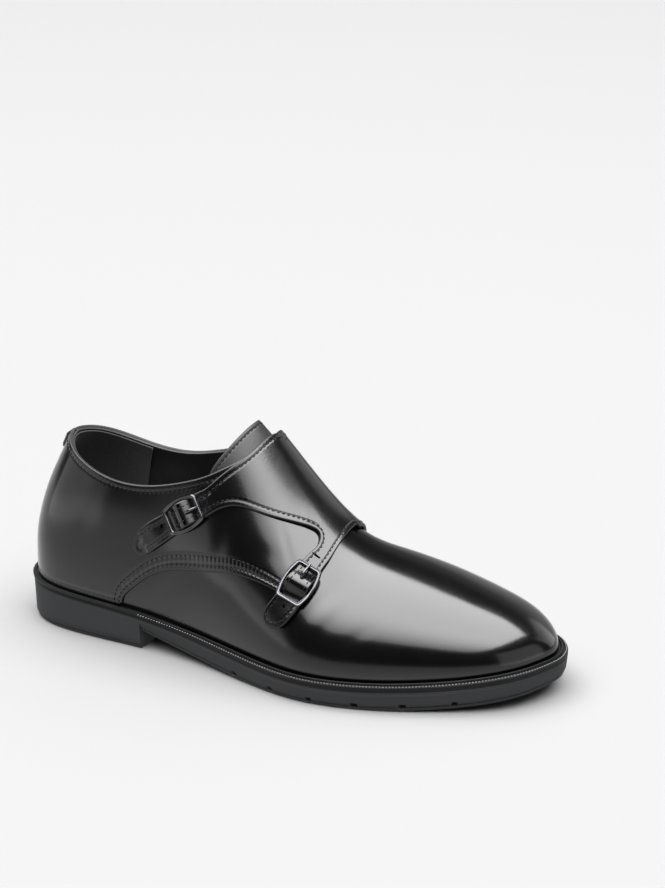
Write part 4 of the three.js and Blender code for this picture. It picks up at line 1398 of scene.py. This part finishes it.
def grain_group():
    """Fine grain of leather and rubber: its height, a soft variation and soft waves."""
    tree = bpy.data.node_groups.new("leather_grain", "ShaderNodeTree")
    pore_size = tree.interface.new_socket("Pore size", in_out="INPUT", socket_type="NodeSocketFloat")
    pore_size.default_value = 900
    for name in ("Height", "Variation", "Waves"):
        tree.interface.new_socket(name, in_out="OUTPUT", socket_type="NodeSocketFloat")
    make, link = tree.nodes.new, tree.links.new
    given, result = make("NodeGroupInput"), make("NodeGroupOutput")
    place, pores, both = make("ShaderNodeTexCoord"), make("ShaderNodeTexVoronoi"), make("ShaderNodeMath")

    def noise(scale, detail):
        """Noise that stays with the piece."""
        node = make("ShaderNodeTexNoise")
        node.inputs["Scale"].default_value, node.inputs["Detail"].default_value = scale, detail
        link(place.outputs["Object"], node.inputs["Vector"])
        return node.outputs["Fac"]

    both.operation = "ADD"
    link(place.outputs["Object"], pores.inputs["Vector"])
    link(given.outputs["Pore size"], pores.inputs["Scale"])
    link(pores.outputs["Distance"], both.inputs[0])
    link(noise(420, 3), both.inputs[1])
    link(both.outputs[0], result.inputs["Height"])
    link(noise(26, 4), result.inputs["Variation"])
    link(noise(48, 1.5), result.inputs["Waves"])
    return tree


def sewn_group():
    """Bead, stitch channel and puckers beside a sewn edge, from how far along and away it is."""
    tree = bpy.data.node_groups.new("sewn_edge", "ShaderNodeTree")
    for name, value in (("Row", 2.0), ("Depth", 0.2), ("Reach", 3.2), ("Pucker", 0.05), ("Pitch", 2.7)):
        socket = tree.interface.new_socket(name, in_out="INPUT", socket_type="NodeSocketFloat")
        socket.default_value = value
    tree.interface.new_socket("Place", in_out="INPUT", socket_type="NodeSocketVector")
    tree.interface.new_socket("Height", in_out="OUTPUT", socket_type="NodeSocketFloat")
    tree.interface.new_socket("Rim", in_out="OUTPUT", socket_type="NodeSocketFloat")
    make, link = tree.nodes.new, tree.links.new
    given, result = make("NodeGroupInput"), make("NodeGroupOutput")
    parts = make("ShaderNodeSeparateXYZ")
    link(given.outputs["Place"], parts.inputs["Vector"])

    def maths(operation, first, second=None):
        """Result of a sum on sockets or numbers."""
        node = make("ShaderNodeMath")
        node.operation = operation
        for socket, value in zip(node.inputs, (first, second)):
            if isinstance(value, (int, float)):
                socket.default_value = value
            elif value is not None:
                link(value, socket)
        return node.outputs[0]

    def fade(value, start, end):
        """Soft step from one at start to zero at end."""
        node = make("ShaderNodeMapRange")
        node.interpolation_type = "SMOOTHSTEP"
        link(value, node.inputs["Value"])
        for socket, limit in (("From Min", start), ("From Max", end)):
            if isinstance(limit, (int, float)):
                node.inputs[socket].default_value = limit
            else:
                link(limit, node.inputs[socket])
        node.inputs["To Min"].default_value, node.inputs["To Max"].default_value = 1, 0
        return node.outputs["Result"]

    far = parts.outputs["Y"]
    off_row = maths("ABSOLUTE", maths("SUBTRACT", far, given.outputs["Row"]))
    channel = maths("MULTIPLY", fade(off_row, 0.0, 0.9), given.outputs["Depth"])
    stitches = maths("DIVIDE", parts.outputs["X"], given.outputs["Pitch"])
    wave = maths("SINE", maths("MULTIPLY", stitches, 2 * math.pi))
    reach = given.outputs["Reach"]
    inner = maths("MULTIPLY", fade(far, reach, maths("ADD", reach, 1.2)), wave)
    outer = maths("SUBTRACT", 1.0, fade(far, 0.7, 1.5))
    pucker = maths("MULTIPLY", maths("MULTIPLY", inner, outer), given.outputs["Pucker"])
    link(maths("SUBTRACT", pucker, channel), result.inputs["Height"])
    link(fade(far, 0.15, 0.7), result.inputs["Rim"])
    return tree


def sewn_height(nodes, links, layer, row, depth, reach, pucker):
    """Height and rim of the sewn edge that a map of the piece follows."""
    place, edge = nodes.new("ShaderNodeUVMap"), nodes.new("ShaderNodeGroup")
    place.uv_map = layer
    edge.node_tree = SEWN
    values = (row, depth, reach, pucker, STITCH)
    for name, value in zip(("Row", "Depth", "Reach", "Pucker", "Pitch"), values):
        edge.inputs[name].default_value = value
    links.new(place.outputs["UV"], edge.inputs["Place"])
    return edge.outputs["Height"], edge.outputs["Rim"]


def start_material(name):
    """New material with its nodes, its links and its main shader."""
    material = bpy.data.materials.new(name)
    material.use_nodes = True
    nodes, links = material.node_tree.nodes, material.node_tree.links
    return material, nodes, links, nodes["Principled BSDF"]


def ranged(nodes, links, source, low, high, socket, start=0.3, end=0.7):
    """Feeds a socket with a value that runs between two limits."""
    scale = nodes.new("ShaderNodeMapRange")
    scale.inputs["From Min"].default_value, scale.inputs["From Max"].default_value = start, end
    scale.inputs["To Min"].default_value, scale.inputs["To Max"].default_value = low, high
    links.new(source, scale.inputs["Value"])
    links.new(scale.outputs["Result"], socket)


def tinted(nodes, links, source, low, high, socket):
    """Feeds a socket with a colour that runs between two."""
    mix = nodes.new("ShaderNodeMix")
    mix.data_type = "RGBA"
    mix.inputs["A"].default_value = low
    mix.inputs["B"].default_value = high
    links.new(source, mix.inputs["Factor"])
    links.new(mix.outputs["Result"], socket)


def speckle(nodes, links, scale):
    """Noise of a scale that stays with the piece."""
    noise, place = nodes.new("ShaderNodeTexNoise"), nodes.new("ShaderNodeTexCoord")
    noise.inputs["Scale"].default_value = scale
    links.new(place.outputs["Object"], noise.inputs["Vector"])
    return noise.outputs["Fac"]


def grained(nodes, pores):
    """Outputs of a grain with pores of a size."""
    grain = nodes.new("ShaderNodeGroup")
    grain.node_tree = GRAIN
    grain.inputs["Pore size"].default_value = pores
    return grain.outputs


def bumped(nodes, links, height, distance, before=None):
    """Bump of a height, over the one before it."""
    bump = nodes.new("ShaderNodeBump")
    bump.inputs["Distance"].default_value = distance * MM
    links.new(height, bump.inputs["Height"])
    if before:
        links.new(before.outputs["Normal"], bump.inputs["Normal"])
    return bump


# Rows of stitches that a map of the leather follows, in millimetres. Columns: map, away from it, depth
# of the channel, reach of the puckers, height of the puckers.
EDGE_ROWS = (("edge", 2.0, 0.2, 2.2, 0.02),)
SEAM_ROWS = (("seam", 2.0, 0.12, 3.6, 0.06), ("seam", 4.4, 0.12, 3.6, 0.0))
CUT_EDGE_ROUGHNESS = 0.58


def leather(name, level, rough, coat, pores, depth, sewn=False, seam=False):
    """Dyed leather with a fine grain, polished where it has a coat, sewn along its edges or its seam."""
    material, nodes, links, shader = start_material(name)
    grain = grained(nodes, pores)
    dark, light = colour_of(level * 0.75), colour_of(level * 1.3)
    tinted(nodes, links, grain["Variation"], dark, light, shader.inputs["Base Color"])
    shader.inputs["Coat Weight"].default_value = coat
    shader.inputs["Coat Roughness"].default_value = 0.1
    bump = bumped(nodes, links, grain["Height"], depth)
    bump = bumped(nodes, links, grain["Waves"], WAVES if coat else 0.0, bump)
    rim = None
    for row in (EDGE_ROWS if sewn else ()) + (SEAM_ROWS if seam else ()):
        height, rim_here = sewn_height(nodes, links, *row)
        rim = rim or rim_here
        loose, parts = nodes.new("ShaderNodeUVMap"), nodes.new("ShaderNodeSeparateXYZ")
        loose.uv_map = "plain"
        links.new(loose.outputs["UV"], parts.inputs["Vector"])
        bump = bumped(nodes, links, height, 1, bump)
        links.new(parts.outputs["X"], bump.inputs["Strength"])
    links.new(bump.outputs["Normal"], shader.inputs["Normal"])
    worn = shader.inputs["Roughness"]
    if rim:
        rougher = nodes.new("ShaderNodeMix")
        worn = rougher.inputs["A"]
        rougher.inputs["B"].default_value = CUT_EDGE_ROUGHNESS
        links.new(rim, rougher.inputs["Factor"])
        links.new(rougher.outputs["Result"], shader.inputs["Roughness"])
        ranged(nodes, links, rim, coat, 0.0, shader.inputs["Coat Weight"], 0, 1)
    ranged(nodes, links, grain["Variation"], rough * 0.85, rough * 1.2, worn)
    return material


def rubber(name, level, rough, shine):
    """Moulded rubber with a fine matte texture, a little paler where it is rubbed."""
    material, nodes, links, shader = start_material(name)
    grain = grained(nodes, 1600)
    shape, worn = nodes.new("ShaderNodeNewGeometry"), nodes.new("ShaderNodeMix")
    worn.data_type = "RGBA"
    worn.inputs["B"].default_value = colour_of(level * 1.5)
    ranged(nodes, links, shape.outputs["Pointiness"], 0.0, 0.6, worn.inputs["Factor"], 0.52, 0.6)
    dark, light = colour_of(level * 0.85), colour_of(level * 1.15)
    tinted(nodes, links, grain["Variation"], dark, light, worn.inputs["A"])
    links.new(worn.outputs["Result"], shader.inputs["Base Color"])
    ranged(nodes, links, grain["Variation"], rough * 0.92, rough * 1.08, shader.inputs["Roughness"])
    shader.inputs["Specular IOR Level"].default_value = shine
    bump = bumped(nodes, links, grain["Height"], 0.03)
    bump.inputs["Strength"].default_value = 0.6
    links.new(bump.outputs["Normal"], shader.inputs["Normal"])
    return material


def shade(name):
    """Matte black without gloss: painted shade for the inside of a hole."""
    material, _, _, shader = start_material(name)
    shader.inputs["Base Color"].default_value = colour_of(0.0006)
    shader.inputs["Roughness"].default_value = 1.0
    shader.inputs["Specular IOR Level"].default_value = 0.0
    return material


def gunmetal(name):
    """Dark plated metal with a faint clouding."""
    material, nodes, links, shader = start_material(name)
    cloud = speckle(nodes, links, 240)
    dark, light = (0.06, 0.06, 0.065, 1), (0.13, 0.13, 0.138, 1)
    tinted(nodes, links, cloud, dark, light, shader.inputs["Base Color"])
    shader.inputs["Metallic"].default_value = 1
    ranged(nodes, links, cloud, 0.14, 0.26, shader.inputs["Roughness"])
    return material


def thread_material(name, level):
    """Waxed thread, its twist lighter and darker."""
    material, nodes, links, shader = start_material(name)
    dark, light = colour_of(level * 0.6), colour_of(level * 1.4)
    tinted(nodes, links, speckle(nodes, links, 1500), dark, light, shader.inputs["Base Color"])
    shader.inputs["Roughness"].default_value = 0.55
    shader.inputs["Specular IOR Level"].default_value = 0.2
    return material


# Camera: angles in degrees, distance and the place of the floor's centre in the picture.
VIEW_AZIMUTH, VIEW_ELEVATION, VIEW_DISTANCE = 25.6, 20.5, 1417
FOCAL_PIXELS = 2707
PICTURE = (665, 888)
CENTRE_PIXEL = (289.8, 646.5)
CAMERA_ASIDE = 4.784  # the camera was measured from the middle of the last, to one side of the box


def photo_camera():
    """Camera that looks at the shoe as the photo does."""
    a, e = math.radians(VIEW_AZIMUTH), math.radians(VIEW_ELEVATION)
    back = Vector((math.sin(a) * math.cos(e), -math.cos(a) * math.cos(e), math.sin(e)))
    right = Vector((math.cos(a), math.sin(a), 0))
    up = back.cross(right)
    aside = (CENTRE_PIXEL[0] - PICTURE[0] / 2) / FOCAL_PIXELS * VIEW_DISTANCE
    below = (PICTURE[1] / 2 - CENTRE_PIXEL[1]) / FOCAL_PIXELS * VIEW_DISTANCE
    data = bpy.data.cameras.new("photo_camera")
    camera = bpy.data.objects.new("photo_camera", data)
    bpy.context.collection.objects.link(camera)
    place = back * VIEW_DISTANCE - right * aside - up * below + Vector((0, CAMERA_ASIDE, 0))
    camera.matrix_world = Matrix.Translation(place * MM) @ Matrix((right, up, back)).transposed().to_4x4()
    data.sensor_width = 36
    data.lens = FOCAL_PIXELS / PICTURE[1] * data.sensor_width
    data.clip_start, data.clip_end = 0.01, 100
    bpy.context.scene.camera = camera


def soft_box(name, place, aim, size, radiance):
    """Rectangular light of an even brightness, out of the camera's sight."""
    data = bpy.data.lights.new(name, "AREA")
    data.shape, data.size, data.size_y = "RECTANGLE", size[0], size[1]
    data.energy = radiance * math.pi * size[0] * size[1]
    light = bpy.data.objects.new(name, data)
    bpy.context.collection.objects.link(light)
    light.location = place
    light.rotation_mode = "QUATERNION"
    light.rotation_quaternion = (Vector(aim) - Vector(place)).to_track_quat("-Z", "Y")
    light.visible_camera = False
    return light


# Room round the shoe, as its gloss mirrors it. Columns: sine of the elevation, brightness.
ROOM = (
    (-1.0, 1.3),
    (-0.5, 1.15),
    (-0.3, 0.8),
    (-0.1, 0.65),
    (-0.025, 0.055),
    (0.5, 0.055),
    (1.0, 0.055),
)


def fade(light, axis, start, end, low):
    """Dims a light from its full brightness at one place along an axis to a part of it at another."""
    light.data.use_nodes = True
    nodes, links = light.data.node_tree.nodes, light.data.node_tree.links
    place, parts, level = (
        nodes.new("ShaderNodeNewGeometry"),
        nodes.new("ShaderNodeSeparateXYZ"),
        nodes.new("ShaderNodeMapRange"),
    )
    links.new(place.outputs["Position"], parts.inputs["Vector"])
    links.new(parts.outputs[axis], level.inputs["Value"])
    level.interpolation_type = "SMOOTHSTEP"
    for name, value in (("From Min", start), ("From Max", end), ("To Min", 1.0), ("To Max", low)):
        level.inputs[name].default_value = value
    links.new(level.outputs["Result"], nodes["Emission"].inputs["Strength"])


# Lights, in metres. Columns: name, place, aim, width and height, brightness, how it is dimmed, and
# where it is seen: in all surfaces, only in gloss, or only in matte ones.
LIGHTS = (
    ("over", (-0.12, -1.3, 4.0), (-0.12, -1.3, 0), (7.4, 7.4), 9.2, ("Y", -0.8, -5.6, 0.2), "all"),
    ("behind", (0.3, 3.0, 1.2), (0.3, 0, 1.2), (5.6, 2.8), 0.45, ("Z", 0.9, 2.6, 0.2), "all"),
    ("toe_side", (2.8, -0.4, 0.5), (0, 0, 0.1), (3.0, 2.1), 0.7, None, "gloss"),
    ("toe_back", (1.85, 2.35, 0.9), (0, 0, 0.1), (2.0, 1.9), 1.2, ("Z", 0.9, 1.9, 0.5), "gloss"),
    ("heel_side", (-2.75, -1.43, 0.35), (0, 0, 0.1), (3.1, 1.7), 0.8, None, "all"),
    ("floor_fill", (0, 1.5, 6.0), (0, 1.5, 0), (22, 22), 0.35, None, "matte"),
    ("back_fill", (0, 3.5, 4.0), (0, 3.5, 0), (9, 9), 2.6, None, "matte"),
)
FLOOR = 0.191  # grey of the floor
FLOOR_HALF = 14.0


def pale_floor():
    """Matte floor that the shoe's gloss doesn't mirror."""
    mesh = bpy.data.meshes.new("floor")
    corners = [(x * FLOOR_HALF, y * FLOOR_HALF, 0) for x, y in ((-1, -1), (1, -1), (1, 1), (-1, 1))]
    mesh.from_pydata(corners, [], [(0, 1, 2, 3)])
    floor = bpy.data.objects.new("floor", mesh)
    bpy.context.collection.objects.link(floor)
    material, _, _, shader = start_material("pale_floor")
    shader.inputs["Base Color"].default_value = (FLOOR, FLOOR, FLOOR * 1.005, 1)
    shader.inputs["Roughness"].default_value = 0.9
    shader.inputs["Specular IOR Level"].default_value = 0.0
    mesh.materials.append(material)
    floor.visible_glossy = False


def room():
    """Surroundings whose brightness changes with the elevation."""
    world = bpy.data.worlds.new("studio")
    bpy.context.scene.world = world
    world.use_nodes = True
    nodes, links = world.node_tree.nodes, world.node_tree.links
    place, parts = nodes.new("ShaderNodeTexCoord"), nodes.new("ShaderNodeSeparateXYZ")
    height, ramp = nodes.new("ShaderNodeMapRange"), nodes.new("ShaderNodeValToRGB")
    height.inputs["From Min"].default_value = -1
    stops = ramp.color_ramp.elements
    while len(stops) < len(ROOM):
        stops.new(0.5)
    for stop, (rise, level) in zip(stops, ROOM):
        stop.position = (rise + 1) / 2
        stop.color = (level, level, level, 1)
    links.new(place.outputs["Generated"], parts.inputs["Vector"])
    links.new(parts.outputs["Z"], height.inputs["Value"])
    links.new(height.outputs["Result"], ramp.inputs["Fac"])
    links.new(ramp.outputs["Color"], nodes["Background"].inputs["Color"])
    nodes["Background"].inputs["Strength"].default_value = 1.0


def studio():
    """Pale floor under a wide soft box, in a dim room."""
    pale_floor()
    room()
    for name, place, aim, size, level, dimmed, seen in LIGHTS:
        light = soft_box(name, place, aim, size, level)
        if dimmed:
            fade(light, *dimmed)
        light.visible_diffuse = seen != "gloss"
        light.visible_glossy = seen != "matte"
    bpy.context.scene.view_settings.view_transform = "Standard"


GRAIN = grain_group()
SEWN = sewn_group()
STITCHES = stitch_tree()


def recolour(node, material):
    """Gives a node of the frame that stays as it is a finished material."""
    node.data.materials.clear()
    node.data.materials.append(material)


def dress_shoe():
    """Finished pieces of the shoe, each with its material."""
    polished = leather("polished_black_leather", 0.0008, 0.16, 0.25, 1100, 0.01)
    quarter = leather("quarter_black_leather", 0.0008, 0.17, 0.25, 1100, 0.01, sewn=True, seam=True)
    strap = leather("strap_black_leather", 0.0008, 0.18, 0.25, 1100, 0.012, sewn=True, seam=True)
    plain = leather("plain_black_leather", 0.001, 0.25, 0.0, 1100, 0.012)
    dull = leather("tongue_black_leather", 0.003, 0.42, 0.0, 1000, 0.03, sewn=True)
    soft = leather("lining_black_leather", 0.004, 0.5, 0.0, 900, 0.03)
    grip = leather("heel_grip_leather", 0.02, 0.8, 0.0, 700, 0.05)
    sock = leather("sock_leather", 0.005, 0.6, 0.0, 800, 0.03)
    metal = gunmetal("polished_gunmetal")
    dress(sole_piece(), "rubber_sole", rubber("matte_black_rubber", 0.032, 0.65, 0.08), "sole_unit")
    dress(welt_piece(), "welt_rubber", rubber("satin_black_rubber", 0.006, 0.5, 0.15), "welt")
    dress(vamp(), "polished_leather", polished, "upper")
    dress(outer_quarter(), "polished_leather", quarter, "upper")
    dress(lining(), "sock_lining", soft, "upper")
    dress(heel_grip(), "sock_lining", grip)
    dress(monk_quarter(), "strap_leather", strap, "monk_quarter")
    dress(tongue_piece(), "tongue_leather", dull, "tongue")
    dress(heel_tab(), "strap_leather", plain, "heel_tab")
    dress(side_bar(), "strap_leather", plain)
    # Discs of painted shade stand for the punched holes and the slit of the straps.
    dress(strap_holes(), "strap_leather", shade("hole_painted_shade"))
    for place in FRAMES:
        ring, pin = buckle_set(place)
        dress(ring, "gunmetal", metal, "buckle_" + place["name"])
        dress(pin, "gunmetal", metal, "prong_" + place["name"])
        recolour(frame["nodes"]["chape_" + place["name"]], plain)
    recolour(frame["nodes"]["insole"], sock)
    upper_stitches(thread_material("black_thread", 0.006))
    welt_stitches(thread_material("grey_thread", 0.16))


photo_camera()
studio()
dress_shoe()
